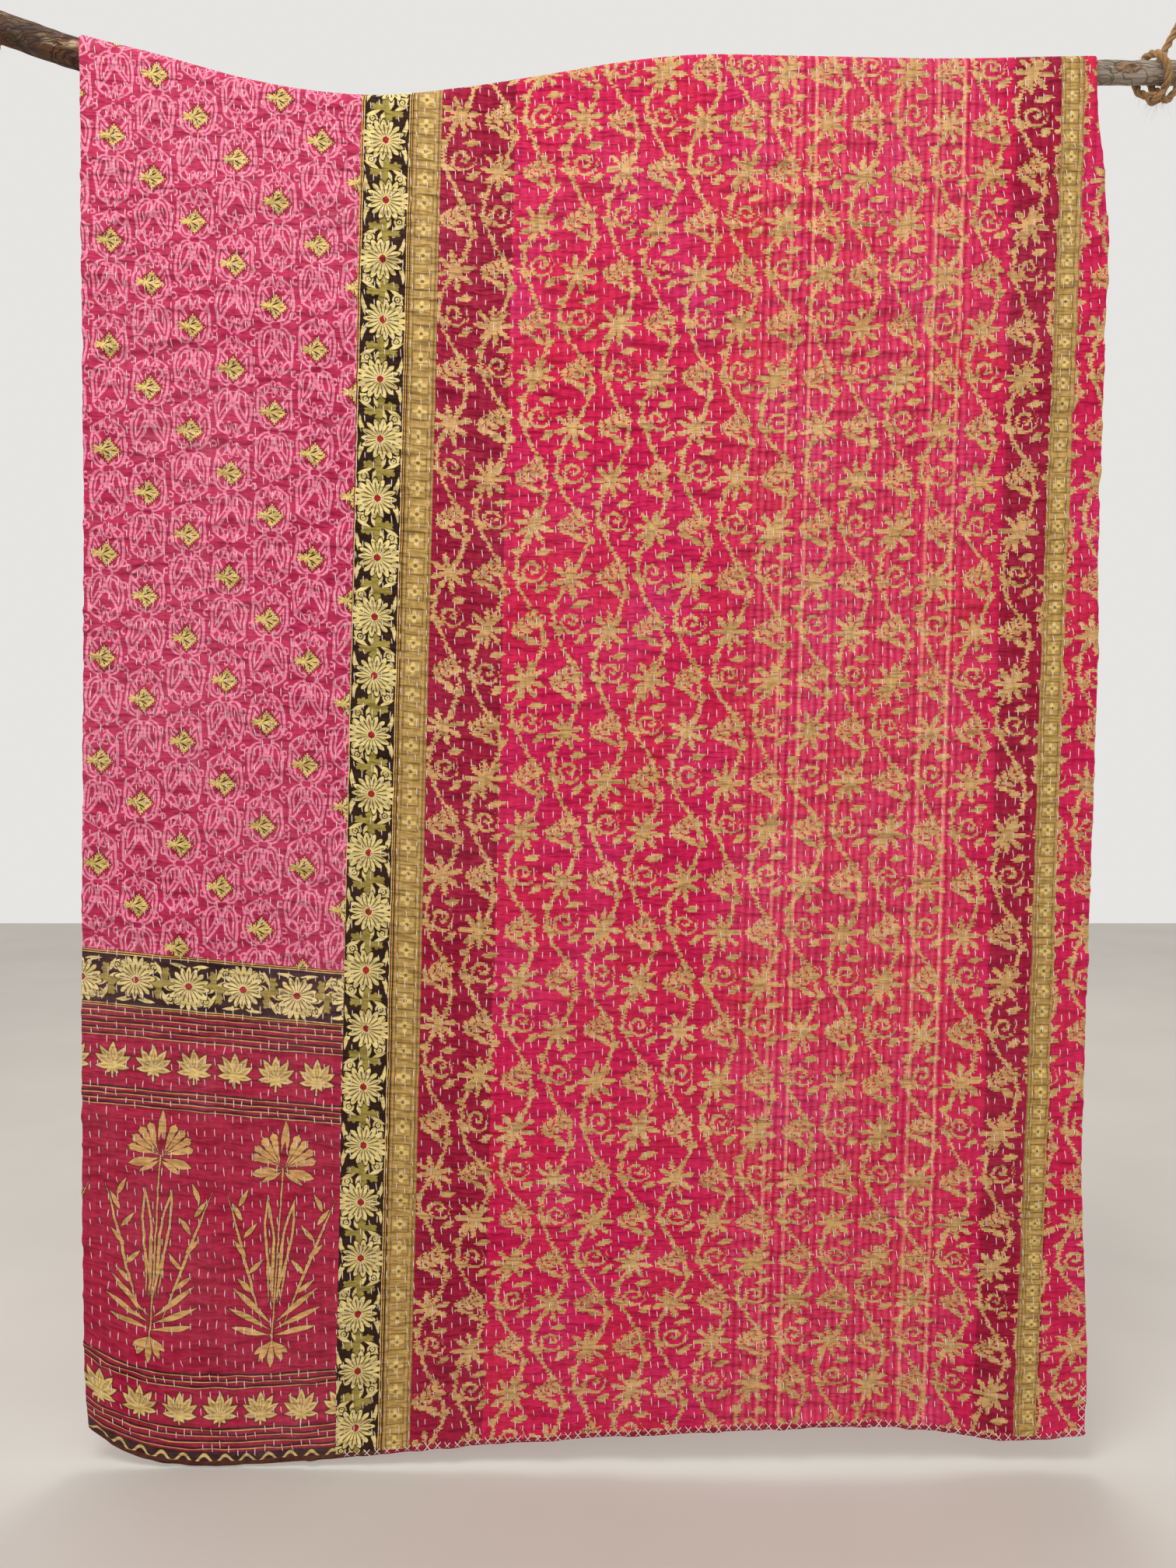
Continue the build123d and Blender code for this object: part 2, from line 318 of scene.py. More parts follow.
class Workshop:
    """One material being made: its node tree, its coordinates and its shader."""

    def __init__(self, name: str, cloth: bool) -> None:
        """Start an empty material.

        Args:
            name: the finish's name.
            cloth: whether it reads the piece's cloth coordinates instead of its place in space.
        """
        self.material = bpy.data.materials.new(name)
        self.material.use_nodes = True
        self.tree = self.material.node_tree
        self.shader = self.tree.nodes["Principled BSDF"]
        if cloth:
            node = self.tree.nodes.new("ShaderNodeUVMap")
            node.uv_map = CLOTH_UV
            self.where = node.outputs[0]
        else:
            self.where = self.tree.nodes.new("ShaderNodeTexCoord").outputs["Object"]
        self.axes = self.split(self.where)

    def split(self, vector: bpy.types.NodeSocket) -> tuple[Field, Field, Field]:
        """A vector's three numbers."""
        node = self.tree.nodes.new("ShaderNodeSeparateXYZ")
        self.tree.links.new(vector, node.inputs[0])
        x, y, z = (Field(self.tree, s) for s in node.outputs)
        return x, y, z

    def join(self, x: "Field | float", y: "Field | float", z: "Field | float" = 0.0) -> bpy.types.NodeSocket:
        """Three numbers as a vector."""
        node = self.tree.nodes.new("ShaderNodeCombineXYZ")
        for slot, value in enumerate((x, y, z)):
            if isinstance(value, Field):
                self.tree.links.new(value.socket, node.inputs[slot])
            else:
                node.inputs[slot].default_value = value
        return node.outputs[0]

    def noise(self, x: "Field | float", y: "Field | float", z: "Field | float" = 0.0, detail: float = 2.0,
              rough: float = 0.5) -> Field:
        """Smooth noise from 0 to 1 at a place whose numbers are counted in bumps."""
        node = self.tree.nodes.new("ShaderNodeTexNoise")
        node.inputs["Scale"].default_value = 1.0
        node.inputs["Detail"].default_value = detail
        node.inputs["Roughness"].default_value = rough
        self.tree.links.new(self.join(x, y, z), node.inputs["Vector"])
        return Field(self.tree, node.outputs[0])

    def chance(self, x: "Field | float", y: "Field | float", z: float = 0.0) -> tuple[Field, Field, Field]:
        """Three random numbers from 0 to 1 that belong to a whole-numbered place."""
        node = self.tree.nodes.new("ShaderNodeTexWhiteNoise")
        node.noise_dimensions = "3D"
        self.tree.links.new(self.join(x, y, z), node.inputs[0])
        return self.split(node.outputs["Color"])

    def cells(self, x: Field, y: Field, feature: str = "F1") -> Field:
        """Distance to the nearest point, or to the nearest edge, of a pattern of random cells."""
        node = self.tree.nodes.new("ShaderNodeTexVoronoi")
        node.feature = feature
        node.inputs["Scale"].default_value = 1.0
        self.tree.links.new(self.join(x, y), node.inputs["Vector"])
        return Field(self.tree, node.outputs["Distance"])

    def dye(self, red: int, green: int, blue: int) -> Dye:
        """A plain colour."""
        return Dye(self.tree, linear(red, green, blue))

    def finish(self, colour: Dye, height: Field | None, rough: "Field | float", sheen: float = 0.0,
               metal: float = 0.0, specular: float = 0.5, relief: float = 1.0) -> bpy.types.Material:
        """Join the colour, the relief and the gloss to the shader.

        Args:
            colour: the surface colour.
            height: relief in metres.
            rough: roughness.
            sheen: weight of the cloth's sheen.
            metal: 1 for bare metal.
            specular: strength of the reflection.
            relief: how much of the relief shows.

        Returns:
            The finished material.
        """
        colour.put(self.shader.inputs["Base Color"])
        if isinstance(rough, Field):
            self.tree.links.new(rough.socket, self.shader.inputs["Roughness"])
        else:
            self.shader.inputs["Roughness"].default_value = rough
        self.shader.inputs["Sheen Weight"].default_value = sheen
        self.shader.inputs["Sheen Roughness"].default_value = 0.45
        self.shader.inputs["Metallic"].default_value = metal
        self.shader.inputs["Specular IOR Level"].default_value = specular
        if height is not None:
            bump = self.tree.nodes.new("ShaderNodeBump")
            bump.inputs["Strength"].default_value = relief
            bump.inputs["Distance"].default_value = 1.0
            self.tree.links.new(height.socket, bump.inputs["Height"])
            self.tree.links.new(bump.outputs[0], self.shader.inputs["Normal"])
        return self.material


def length_of(x: Field, y: Field) -> Field:
    """Distance from the middle: the root of x squared plus y squared."""
    return (x * x).math("ADD", y * y).math("SQRT")


def leaf(x: Field, y: Field, base: tuple[float, float], turn: float, long: float, wide: float,
         skew: float = 1.0) -> Field:
    """Signed distance, roughly, to a pointed leaf.

    Its half width is wide times the sine of pi times the share of its length raised to skew, so it
    starts and ends in a point, and a skew under 1 puts its belly near the foot.

    Args:
        x, y: the place.
        base: the leaf's foot.
        turn: direction of its tip in degrees from the y axis, towards x.
        long: its length.
        wide: half its greatest width.
        skew: where its belly lies.

    Returns:
        Below zero inside the leaf.
    """
    c, s = math.cos(math.radians(turn)), math.sin(math.radians(turn))
    along = x.scaled(s, y.scaled(c, -(base[0] * s + base[1] * c)))
    aside = x.scaled(c, y.scaled(-s, base[1] * s - base[0] * c))
    share = along.math("MULTIPLY", 1 / long, clamp=True)
    if skew != 1.0:
        share = share.math("POWER", skew)
    half = (share * math.pi).math("SINE")
    return (abs(aside) - half * wide).most(abs(along - long / 2) - long / 2)


def foliage(shape: Field, x: Field, y: Field, leaves: Sequence[Leaf], skew: float = 1.0) -> Field:
    """The shape joined with leaves, each given as its foot, turn, length and half width."""
    for base, turn, long, wide in leaves:
        shape = shape.least(leaf(x, y, base, turn, long, wide, skew))
    return shape


def ring(x: Field, y: Field, at: tuple[float, float], radius: float, line: float) -> Field:
    """Signed distance to a circle drawn with a line of the given half width."""
    return abs(length_of(x - at[0], y - at[1]) - radius) - line


def daisy(x: Field, y: Field, petals: int, radius: float, dip: float, shift: "Field | float" = 0.0) -> Field:
    """Signed distance, roughly, to a flower whose edge swings in and out once for each petal."""
    angle = y.math("ARCTAN2", x).scaled(petals / 2, shift)
    edge = abs(angle.math("COSINE")).scaled(dip, radius - dip)
    return length_of(x, y).math("SUBTRACT", edge)


@dataclass(frozen=True)
class Kantha:
    """What all the quilt's cloths share: crinkles between the stitches, slubs, fading, painted shade in the
    hollows of the crinkles and thread.
    """

    row_gap: float = 0.0134
    wrinkle: float = 0.0064
    slub: float = 0.00015
    fade: float = 0.06

    def relief(self, shop: Workshop, u: Field, v: Field) -> Field:
        """Relief in metres: creased puckers wider than tall, dimples along the rows, and threads."""
        creased = abs(shop.noise(u * 17, v * 62, 0.0, 2.0).scaled(2, -1)) * -1.0
        fine = shop.noise(u * 48, v * 130, 3.0, 1.0)
        dimple = abs((u * (math.pi / self.row_gap)).math("SINE"))
        slubs = shop.noise(u * 1400, v * 90, 5.0, 1.0).math("ADD", shop.noise(u * 90, v * 1400, 8.0, 1.0))
        return (creased * self.wrinkle + fine * (self.wrinkle * 0.6) + dimple * (self.wrinkle * 0.35)
                + slubs * self.slub)

    def worn_with_painted_shade(self, shop: Workshop, colour: Dye, u: Field, v: Field, pale: Dye) -> Dye:
        """The colour, softly faded in clouds and along the crests of the crinkles, with painted shade
        darkening the hollows between the crests.
        """
        clouds = shop.noise(u * 5, v * 4, 11.0, 3.0).scaled(2.4, -0.8, clamp=True)
        crest = abs(shop.noise(u * 17, v * 62, 0.0, 2.0).scaled(2, -1)).scaled(-3.2, 1.1, clamp=True)
        threads = shop.noise(u * 900, v * 60, 2.0, 1.0)
        amount = (clouds * self.fade + crest * (self.fade * 0.5)).math("MULTIPLY", threads.scaled(1.2, 0.4))
        # painted shade: a near-black mixed in, at up to 0.16, in the hollows between the crinkles' crests
        dark = Dye(shop.tree, (0.02, 0.004, 0.008, 1.0))
        shaded = colour.under(dark, crest.scaled(-0.16, 0.16))
        return shaded.under(pale, amount)


KANTHA = Kantha()


@dataclass(frozen=True)
class FloralBorder:
    """The black border: many-petalled daisies in a row with scrolls, olive sprigs and line pairs."""

    width: float = 0.077
    repeat: float = 0.0875

    def pattern(self, shop: Workshop, across: Field, along: Field) -> Dye:
        """The border's colours.

        Args:
            shop: the material being made.
            across: place across the border from its middle.
            along: place along it.

        Returns:
            The colour.
        """
        half = self.width / 2
        number, y = along.tile(self.repeat)
        side = abs(number).math("MODULO", 2.0).scaled(2, -1)
        x = across * side
        cream, olive = shop.dye(232, 210, 138), shop.dye(158, 140, 66)
        colour = shop.dye(36, 16, 12)
        wobble = shop.noise(across * 120, along * 120, 1.0, 1.0).scaled(0.004, -0.002)
        gap = abs(y).scaled(-1, self.repeat / 2)
        sprig = foliage(daisy(x + 0.016, gap - 0.003, 5, 0.0088, 0.0035), x, gap, (
            ((0.006, 0.002), -34, 0.024, 0.0062), ((0.006, 0.0), -78, 0.026, 0.0058)))
        colour = colour.under(olive, (sprig + wobble).inside(0.001))
        eye = (0.0215, 0.013)
        scroll = ring(x, gap, eye, 0.0062, 0.0013).least(ring(x, gap, eye, 0.0022, 0.0012))
        scroll = foliage(scroll, x, gap, (
            ((0.010, 0.000), 64, 0.024, 0.0030), ((0.029, 0.012), -8, 0.026, 0.0028),
            ((0.030, 0.018), -30, 0.018, 0.0026), ((-0.030, 0.010), 6, 0.026, 0.0026),
            ((-0.030, 0.020), 30, 0.016, 0.0024), ((0.004, 0.002), 20, 0.016, 0.0026)))
        colour = colour.under(cream, (scroll + wobble * 0.5).inside(0.0010))
        flower = daisy((x - 0.005) * 0.82, y * 0.90, 16, 0.0268, 0.0090)
        veins = abs((y.math("ARCTAN2", x - 0.001) * 9).math("SINE"))
        colour = colour.under(shop.dye(28, 14, 10), (flower - 0.0022).inside(0.001))
        colour = colour.under(cream, (flower + wobble * 0.4).inside(0.001))
        core = length_of(x - 0.001, y)
        parted = veins.scaled(-1, 1.0) * core.between(0.006, 0.024, 0.003)
        colour = colour.under(shop.dye(48, 24, 14), parted.math("POWER", 2.2).scaled(1.4, 0.0, clamp=True))
        colour = colour.under(shop.dye(40, 18, 12), (core - 0.0050).inside(0.001))
        colour = colour.under(shop.dye(168, 24, 40), (abs(x - 0.001) * 1.3 + abs(y) - 0.0066).inside(0.001))
        edge = abs(across).scaled(-1, half)
        colour = colour.under(shop.dye(214, 178, 70), edge.between(0.0012, 0.0026))
        colour = colour.under(shop.dye(120, 14, 30), edge.between(0.0026, 0.0045))
        return colour.under(cream, edge.between(0.0045, 0.0056))

    def material(self) -> bpy.types.Material:
        """The border that runs down beside the seam."""
        shop = Workshop("floral_border", cloth=True)
        u, v, _ = shop.axes
        colour = self.pattern(shop, u + self.width / 2, v)
        colour = KANTHA.worn_with_painted_shade(shop, colour, u, v, shop.dye(150, 110, 80))
        return shop.finish(colour, KANTHA.relief(shop, u, v), 0.86, sheen=0.03, specular=0.14)


@dataclass(frozen=True)
class PaisleyPrint:
    """The paisley cloth: a pink line print with gold leaves, and at its foot bands and tall plumes."""

    columns: float = 0.061
    repeat: float = 0.153
    drop: float = 0.057
    shift: float = 0.019
    plume_gap: float = 0.1827
    plume_at: float = -0.336

    def lines(self, shop: Workshop, u: Field, v: Field) -> Field:
        """1 on the pink lines: leaning double-lined paisleys in mirrored pairs, lotuses, rings and stems."""
        number, _ = (u - self.shift).tile(self.columns)
        warp = shop.noise(u * 26, v * 26, 5.0, 1.0).scaled(0.008, -0.004)
        _, x = (u - self.shift + warp).tile(self.columns)
        row, y = (v + number * self.drop + warp).tile(self.repeat / 2)
        a, b = abs(x), y * row.math("MODULO", 2.0).scaled(2, -1)
        large = leaf(a, b, (0.0090, -0.036), 14, 0.058, 0.0112, 0.62)
        shape = (abs(large) - 0.0021).least(abs(large + 0.0062) - 0.0014)
        hook = leaf(a, b, (0.0235, 0.012), -40, 0.026, 0.0052, 0.7)
        shape = shape.least(abs(hook) - 0.0016)
        for at, radius, line in (((0.0055, -0.012), 0.0042, 0.0014), ((0.0265, -0.022), 0.0046, 0.0014),
                                 ((0.0285, 0.030), 0.0040, 0.0013)):
            shape = shape.least(ring(a, b, at, radius, line))
        shape = shape.least(abs(daisy(x, b - 0.024, 7, 0.0125, 0.0060)) - 0.0013)
        return foliage(shape, a, b, (
            ((0.0, 0.014), 18, 0.018, 0.0020), ((0.0, -0.034), 66, 0.016, 0.0022))).inside(0.0009)

    def ground(self, shop: Workshop, u: Field, v: Field) -> Dye:
        """Crimson with the pink line print, and a serrated gold leaf in each tile."""
        number, x = (u - self.shift).tile(self.columns)
        _, y = (v + number * self.drop - 0.0274).tile(self.repeat)
        lines = self.lines(shop, u, v)
        cloudy = shop.noise(u * 16, v * 16, 7.0, 2.0).scaled(1.6, 0.0, clamp=True)
        colour = shop.dye(172, 22, 68).under(shop.dye(186, 34, 80), cloudy)
        dusky = (shop.noise(u * 22, v * 15, 9.0, 1.0) - 0.62).scaled(9.0, 0.0, clamp=True)
        colour = colour.under(shop.dye(170, 84, 100), dusky * 0.35)
        patchy = shop.noise(u * 150, v * 150, 7.0, 1.0).scaled(1.2, 0.25, clamp=True)
        colour = colour.under(shop.dye(238, 142, 168), lines * patchy)
        slope = x * (1 / 0.0172) - y * (1 / 0.0180)
        diamond = (abs(x) * (1 / 0.0172)).math("ADD", abs(y) * (1 / 0.0180)) - 1
        teeth = abs((abs(x) * 560 - abs(y) * 560).math("SINE")).scaled(0.22, -0.10)
        b = abs(y)
        tail = leaf(x, b, (-0.010, 0.0), -66, 0.013, 0.0022)
        tail = tail.least(leaf(x, b, (-0.012, 0.0), -90, 0.012, 0.0016))
        colour = colour.under(shop.dye(150, 14, 52), (diamond - 0.24).inside(0.15))
        gold = shop.dye(226, 200, 118).under(shop.dye(190, 158, 76), slope.wave(0.42).scaled(0.5, 0.5) * 0.6)
        colour = colour.under(gold, (diamond + teeth).inside(0.10).most(tail.inside(0.0008)))
        slit = foliage(leaf(x, b, (-0.006, 0.0012), 62, 0.014, 0.0013), x, b, (
            ((-0.002, 0.006), 40, 0.007, 0.0010), ((-0.008, 0.003), 12, 0.010, 0.0010),
            ((0.003, 0.0), 90, 0.010, 0.0008)))
        return colour.under(shop.dye(66, 26, 20), slit.inside(0.0008))

    def stripes(self, shop: Workshop, colour: Dye, v: Field, low: float, high: float, count: int) -> Dye:
        """A band of black lines with thin gold lines beside them on crimson."""
        _, y = (v - low).tile((high - low) / count)
        inside = v.between(low, high)
        colour = colour.under(shop.dye(150, 12, 48), inside)
        colour = colour.under(shop.dye(34, 10, 16), inside * (abs(y - 0.0012) - 0.0013).inside(0.0007))
        return colour.under(shop.dye(214, 168, 96), inside * (abs(y + 0.0012) - 0.0006).inside(0.0007))

    def sprigs(self, shop: Workshop, colour: Dye, u: Field, v: Field, middle: float) -> Dye:
        """A row of small leaf sprigs: a pointed leaf between two pairs of side leaves on a short stem."""
        _, x = (u + 0.018).tile(0.0605)
        shrink = 0.74
        x, y = abs(x) * shrink, (v - middle) * shrink
        shape = leaf(x, y, (0.0, -0.008), 0, 0.028, 0.0046)
        foot = (0.0, -0.007)
        shape = foliage(shape, x, y, ((foot, 32, 0.026, 0.0040), (foot, 58, 0.023, 0.0038),
                                      (foot, 92, 0.019, 0.0032), (foot, 140, 0.010, 0.0022)))
        shape = shape.least((abs(x) - 0.0009).most(abs(y + 0.014) - 0.006))
        colour = colour.under(shop.dye(90, 10, 30), (shape - 0.0014).inside(0.001))
        veined = abs(shape + 0.0030).scaled(-900, 0.9, clamp=True)
        gold = shop.dye(222, 192, 116).under(shop.dye(110, 50, 36), veined * 0.7)
        return colour.under(gold, shape.inside(0.0009))

    def plume(self, x: Field, y: Field) -> Field:
        """Signed distance to one tall plume, given the distance from its axis and the height.

        A crown of pierced club petals on a thin stem, tall loops, a frond of curved leaves on each side
        and a fan of crescent leaves over hanging buds.
        """
        shape = leaf(x, y, (0.0, 0.455), 0, 0.056, 0.0062, 0.8)
        for turn, long in ((19, 0.052), (37, 0.052), (56, 0.050), (75, 0.047)):
            shape = shape.least(leaf(x, y, (0.003, 0.440), turn, long, 0.0046, 1.7))
            tip, reach = math.radians(turn), 0.83 * long
            hole = (0.003 + reach * math.sin(tip), 0.440 + reach * math.cos(tip))
            shape = shape.least(ring(x, y, hole, 0.0042, 0.0016))
        shape = foliage(shape, x, y, (((0.002, 0.436), 104, 0.046, 0.0070),), 1.4)
        shape = foliage(shape, x, y, (((0.002, 0.432), 122, 0.034, 0.0040),))
        shape = shape.least((x - 0.0011).most(abs(y - 0.30) - 0.140))
        tall = leaf(x, y, (0.001, 0.235), 7, 0.160, 0.0080, 1.5)
        shape = shape.least((abs(tall + 0.0018) - 0.0017).most(tall))
        for foot, turn, long in ((0.0045, 2, 0.110), (0.0085, 5, 0.095)):
            shape = shape.least(leaf(x, y, (foot, 0.240), turn, long, 0.0016))
        shape = shape.least(leaf(x, y, (0.015, 0.205), 19, 0.200, 0.0022).most(y - 0.395))
        for low, out, turn in ((0.382, 0.066, -26), (0.362, 0.060, 34), (0.338, 0.056, -40),
                               (0.312, 0.050, 44), (0.288, 0.045, -44), (0.262, 0.038, 52)):
            shape = shape.least(leaf(x, y, (out - 0.004, low - 0.006), turn, 0.030, 0.0036, 0.8))
        for low, turn, long in ((0.210, 50, 0.080), (0.202, 66, 0.074), (0.194, 80, 0.062)):
            shape = shape.least(leaf(x, y, (0.001, low), turn, long, 0.0042, 1.3))
        for low, turn, long in ((0.185, 128, 0.030), (0.185, 150, 0.034), (0.190, 180, 0.044)):
            shape = shape.least(leaf(x, y, (0.0005, low), turn, long, 0.0044, 1.6))
        return shape

    def foot(self, shop: Workshop, u: Field, v: Field) -> Dye:
        """The bands and plumes below the line print."""
        colour = shop.dye(184, 10, 62).under(shop.dye(150, 2, 46), shop.noise(u * 9, v * 9, 4.0, 3.0))
        leaning = (u - self.plume_at + self.plume_gap / 2) + (v - 0.48) * -0.045
        _, x = leaning.tile(self.plume_gap)
        plume = self.plume(abs(x), v)
        rough = shop.noise(u * 260, v * 260, 1.0, 1.0).scaled(0.0014, -0.0007)
        colour = colour.under(shop.dye(96, 2, 30), (plume - 0.0014).inside(0.0010))
        faded = shop.dye(230, 190, 110).under(shop.dye(190, 132, 80), shop.noise(u * 40, v * 40, 3.0, 2.0))
        colour = colour.under(faded, (plume + rough).inside(0.0009))
        heart = leaf(abs(x), v, (0.0, 0.446), 0, 0.032, 0.0034)
        colour = colour.under(shop.dye(150, 8, 46), heart.inside(0.001))
        colour = self.sprigs(shop, colour, u, v, 0.577)
        colour = self.sprigs(shop, colour, u + 0.012, v, 0.084)
        for low, high, count in ((0.610, 0.655, 5), (0.508, 0.540, 4), (0.114, 0.140, 3), (0.022, 0.060, 4)):
            colour = self.stripes(shop, colour, v, low, high, count)
        border = FloralBorder(0.085, 0.080).pattern(shop, v - 0.6975, u + 0.02)
        colour = colour.under(border, v.between(0.655, 0.740))
        hem = shop.dye(40, 20, 14).under(shop.dye(214, 184, 112),
                                         (abs(u.wave(0.032) * 0.006 + v - 0.011) - 0.0026).inside(0.001))
        return colour.under(hem, v.between(-0.05, 0.022))

    def material(self) -> bpy.types.Material:
        """The whole cloth but for the border at its right."""
        shop = Workshop("paisley_print", cloth=True)
        u, v, _ = shop.axes
        colour = self.ground(shop, u, v).under(self.foot(shop, u, v), v.between(-0.05, 0.740))
        colour = KANTHA.worn_with_painted_shade(shop, colour, u, v, shop.dye(246, 176, 188))
        return shop.finish(colour, KANTHA.relief(shop, u, v), 0.86, sheen=0.03, specular=0.14)


@dataclass(frozen=True)
class VineJacquard:
    """The vine cloth: woven gold flowers, curling stems and leaves on magenta with deep side strips."""

    deep_left: float = 0.150
    deep_right: float = 0.885
    column: float = 0.060
    repeat: float = 0.2235
    first: float = 0.098

    def vines(self, shop: Workshop, u: Field, v: Field) -> Field:
        """1 on the woven gold, whose edges step with the weft threads."""
        weft = 0.0024
        threads = (v * (1 / weft)).math("FLOOR")
        stepped = threads * weft
        pulled = shop.chance(threads, (u * 60).math("FLOOR"), 2.0)[0].scaled(0.0052, -0.0026)
        u = u + pulled
        drift = shop.noise(u * 9, stepped * 9, 6.0, 1.0).scaled(0.020, -0.010)
        column, x = (u + drift - self.first).tile(self.column)
        _, y = (stepped + drift + column * (self.repeat / 3) - 0.036).tile(self.repeat)
        angle = y.math("ARCTAN2", x)
        petal = abs((angle * 4.0 + column).math("COSINE")).math("POWER", 1.4)
        flower = length_of(x, y) - petal.scaled(0.0225, 0.0075)
        swing = y.wave(self.repeat) * 0.021
        stem = abs(x - swing) * 0.80 - 0.0024
        away = y - 0.082
        along, aside = x * 0.82 + away * 0.57, abs(x * -0.57 + away * 0.82)
        fern = aside.most(abs(along) - 0.026) - 0.0013
        for k in range(4):
            fern = fern.least(leaf(along, aside, (-0.024 + 0.0115 * k, 0.0), 40, 0.0185, 0.0044))
        cx, cy = x - 0.004, y + 0.062
        curl_r = length_of(cx, cy)
        spiral = (curl_r * (1 / 0.0130) - cy.math("ARCTAN2", cx) * (1 / (2 * math.pi))).math("FRACT")
        curls = abs(spiral - 0.5).scaled(0.0130, -0.0026).most(curl_r - 0.0185)
        shape = flower.least(stem).least(curls).least(fern)
        shape = foliage(shape, x, y, (
            ((0.004, -0.040), 78, 0.026, 0.0056), ((-0.006, -0.080), -58, 0.028, 0.0054),
            ((0.010, -0.094), 52, 0.024, 0.0056), ((0.020, 0.046), 40, 0.020, 0.0048),
            ((0.018, 0.050), -58, 0.030, 0.0052), ((-0.014, -0.036), -100, 0.018, 0.0048)))
        ragged = shop.noise(u * 260, stepped * 260, 2.0, 1.0).scaled(0.0034, -0.0017)
        return (shape + ragged).inside(0.0009)

    def gold(self, shop: Workshop, u: Field, v: Field) -> Dye:
        """The gold weft, lighter and darker in threads and in clouds."""
        thread = v.wave(0.0021).scaled(0.5, 0.5)
        gold = shop.dye(220, 182, 112).under(shop.dye(154, 112, 60), thread * 0.6)
        bright = shop.noise(u * 8, v * 8, 31.0, 3.0).scaled(3.0, -1.35, clamp=True)
        gold = gold.under(shop.dye(222, 190, 128), bright * 0.7)
        flecks = shop.noise(u * 500, v * 60, 37.0, 1.0).scaled(2.5, -1.0, clamp=True)
        return gold.under(shop.dye(176, 112, 78), flecks * 0.5)

    def ground(self, shop: Workshop, u: Field, v: Field) -> Dye:
        """Bright magenta, warmer and cooler in patches and ribbed, with deep crimson side strips."""
        hot, orange = shop.dye(206, 10, 76), shop.dye(210, 30, 52)
        colour = hot.under(orange, shop.noise(u * 7, v * 5, 21.0, 3.0).scaled(3.2, -1.4, clamp=True) * 0.75)
        cooler = shop.noise(u * 9, v * 6, 44.0, 3.0).scaled(3.0, -1.5, clamp=True)
        colour = colour.under(shop.dye(226, 52, 124), cooler * 0.7)
        twill = (u + v).wave(0.0042).scaled(0.5, 0.5)
        colour = colour.under(shop.dye(166, 10, 60), twill * 0.35)
        ribs = u.wave(0.0105).scaled(0.5, 0.5) * u.between(0.50, 0.84, 0.06)
        colour = colour.under(shop.dye(236, 120, 130), ribs * shop.noise(u * 20, v * 3, 9.0, 2.0) * 0.55)
        deep = shop.dye(166, 0, 52).under(shop.dye(134, 0, 38), shop.noise(u * 10, v * 10, 13.0, 2.0))
        wavy = shop.noise(u * 3, v * 16, 17.0, 1.0).scaled(0.006, -0.003)
        middle = (u + wavy).between(self.deep_left, self.deep_right, 0.002)
        middle = middle.most(u.between(0.984, 1.2, 0.002))
        return deep.under(colour, middle)

    def material(self) -> bpy.types.Material:
        """The cloth's two strips and bright field."""
        shop = Workshop("vine_jacquard", cloth=True)
        u, v, _ = shop.axes
        mask = self.vines(shop, u, v)
        colour = self.ground(shop, u, v).under(self.gold(shop, u, v), mask)
        streaks = None
        for place in (0.56, 0.592, 0.772, 0.81):
            streak = (abs(u - place) - 0.0022).inside(0.0022)
            streaks = streak if streaks is None else streaks.most(streak)
        uneven = shop.noise(u * 90, v * 14, 61.0, 2.0)
        colour = colour.under(shop.dye(246, 190, 140), streaks * uneven * 0.75)
        colour = KANTHA.worn_with_painted_shade(shop, colour, u, v, shop.dye(240, 120, 150))
        relief = KANTHA.relief(shop, u, v) + mask * 0.00030
        return shop.finish(colour, relief, mask.scaled(-0.18, 0.72), sheen=0.0, specular=0.14)


@dataclass(frozen=True)
class GoldBraid:
    """A woven gold trim: small flower squares in a row between ribbed lines."""

    name: str
    width: float
    start: float = 0.0
    square: float = 0.038

    def material(self) -> bpy.types.Material:
        """The trim, on cloth coordinates that reach start at its left side."""
        shop = Workshop(self.name, cloth=True)
        u, v, _ = shop.axes
        u = u - self.start
        _, y = v.tile(self.square)
        x = u - self.width * 0.46
        gold, dark = shop.dye(206, 168, 88), shop.dye(134, 98, 44)
        colour = gold.under(shop.dye(160, 122, 60), shop.noise(u * 120, v * 120, 2.0, 2.0))
        size = self.width * 0.30
        frame = abs(abs(x).most(abs(y)) - size) - 0.0009
        flower = daisy(x, y, 4, size * 0.80, size * 0.45)
        colour = colour.under(dark, frame.inside(0.001))
        colour = colour.under(shop.dye(222, 190, 112), flower.inside(0.001))
        colour = colour.under(dark, (length_of(x, y) - size * 0.22).inside(0.001))
        edge = abs(u - self.width / 2).scaled(-1, self.width / 2)
        ribs = u.wave(0.0052).scaled(0.5, 0.5)
        sides = (edge - self.width * 0.16).inside(0.002)
        colour = colour.under(dark, ribs * sides * 0.9)
        raised = flower.inside(0.002) * 0.0005 + frame.inside(0.002) * 0.0004
        relief = KANTHA.relief(shop, u, v) + raised + ribs * sides * 0.0005
        colour = KANTHA.worn_with_painted_shade(shop, colour, u, v, shop.dye(226, 200, 150))
        return shop.finish(colour, relief, 0.6, sheen=0.02, specular=0.3)


@dataclass(frozen=True)
class PlainCotton:
    """A plain worn cotton in one colour, for the backing, the filling, the hems and the threads."""

    name: str
    colour: tuple[int, int, int]
    shade: tuple[int, int, int]
    pale: tuple[int, int, int]
    rough: float = 0.85

    def material(self) -> bpy.types.Material:
        """The finish, on cloth coordinates."""
        shop = Workshop(self.name, cloth=True)
        u, v, _ = shop.axes
        colour = shop.dye(*self.colour).under(shop.dye(*self.shade), shop.noise(u * 12, v * 10, 3.0, 3.0))
        colour = KANTHA.worn_with_painted_shade(shop, colour, u, v, shop.dye(*self.pale))
        return shop.finish(colour, KANTHA.relief(shop, u, v), self.rough, sheen=0.03, specular=0.14)


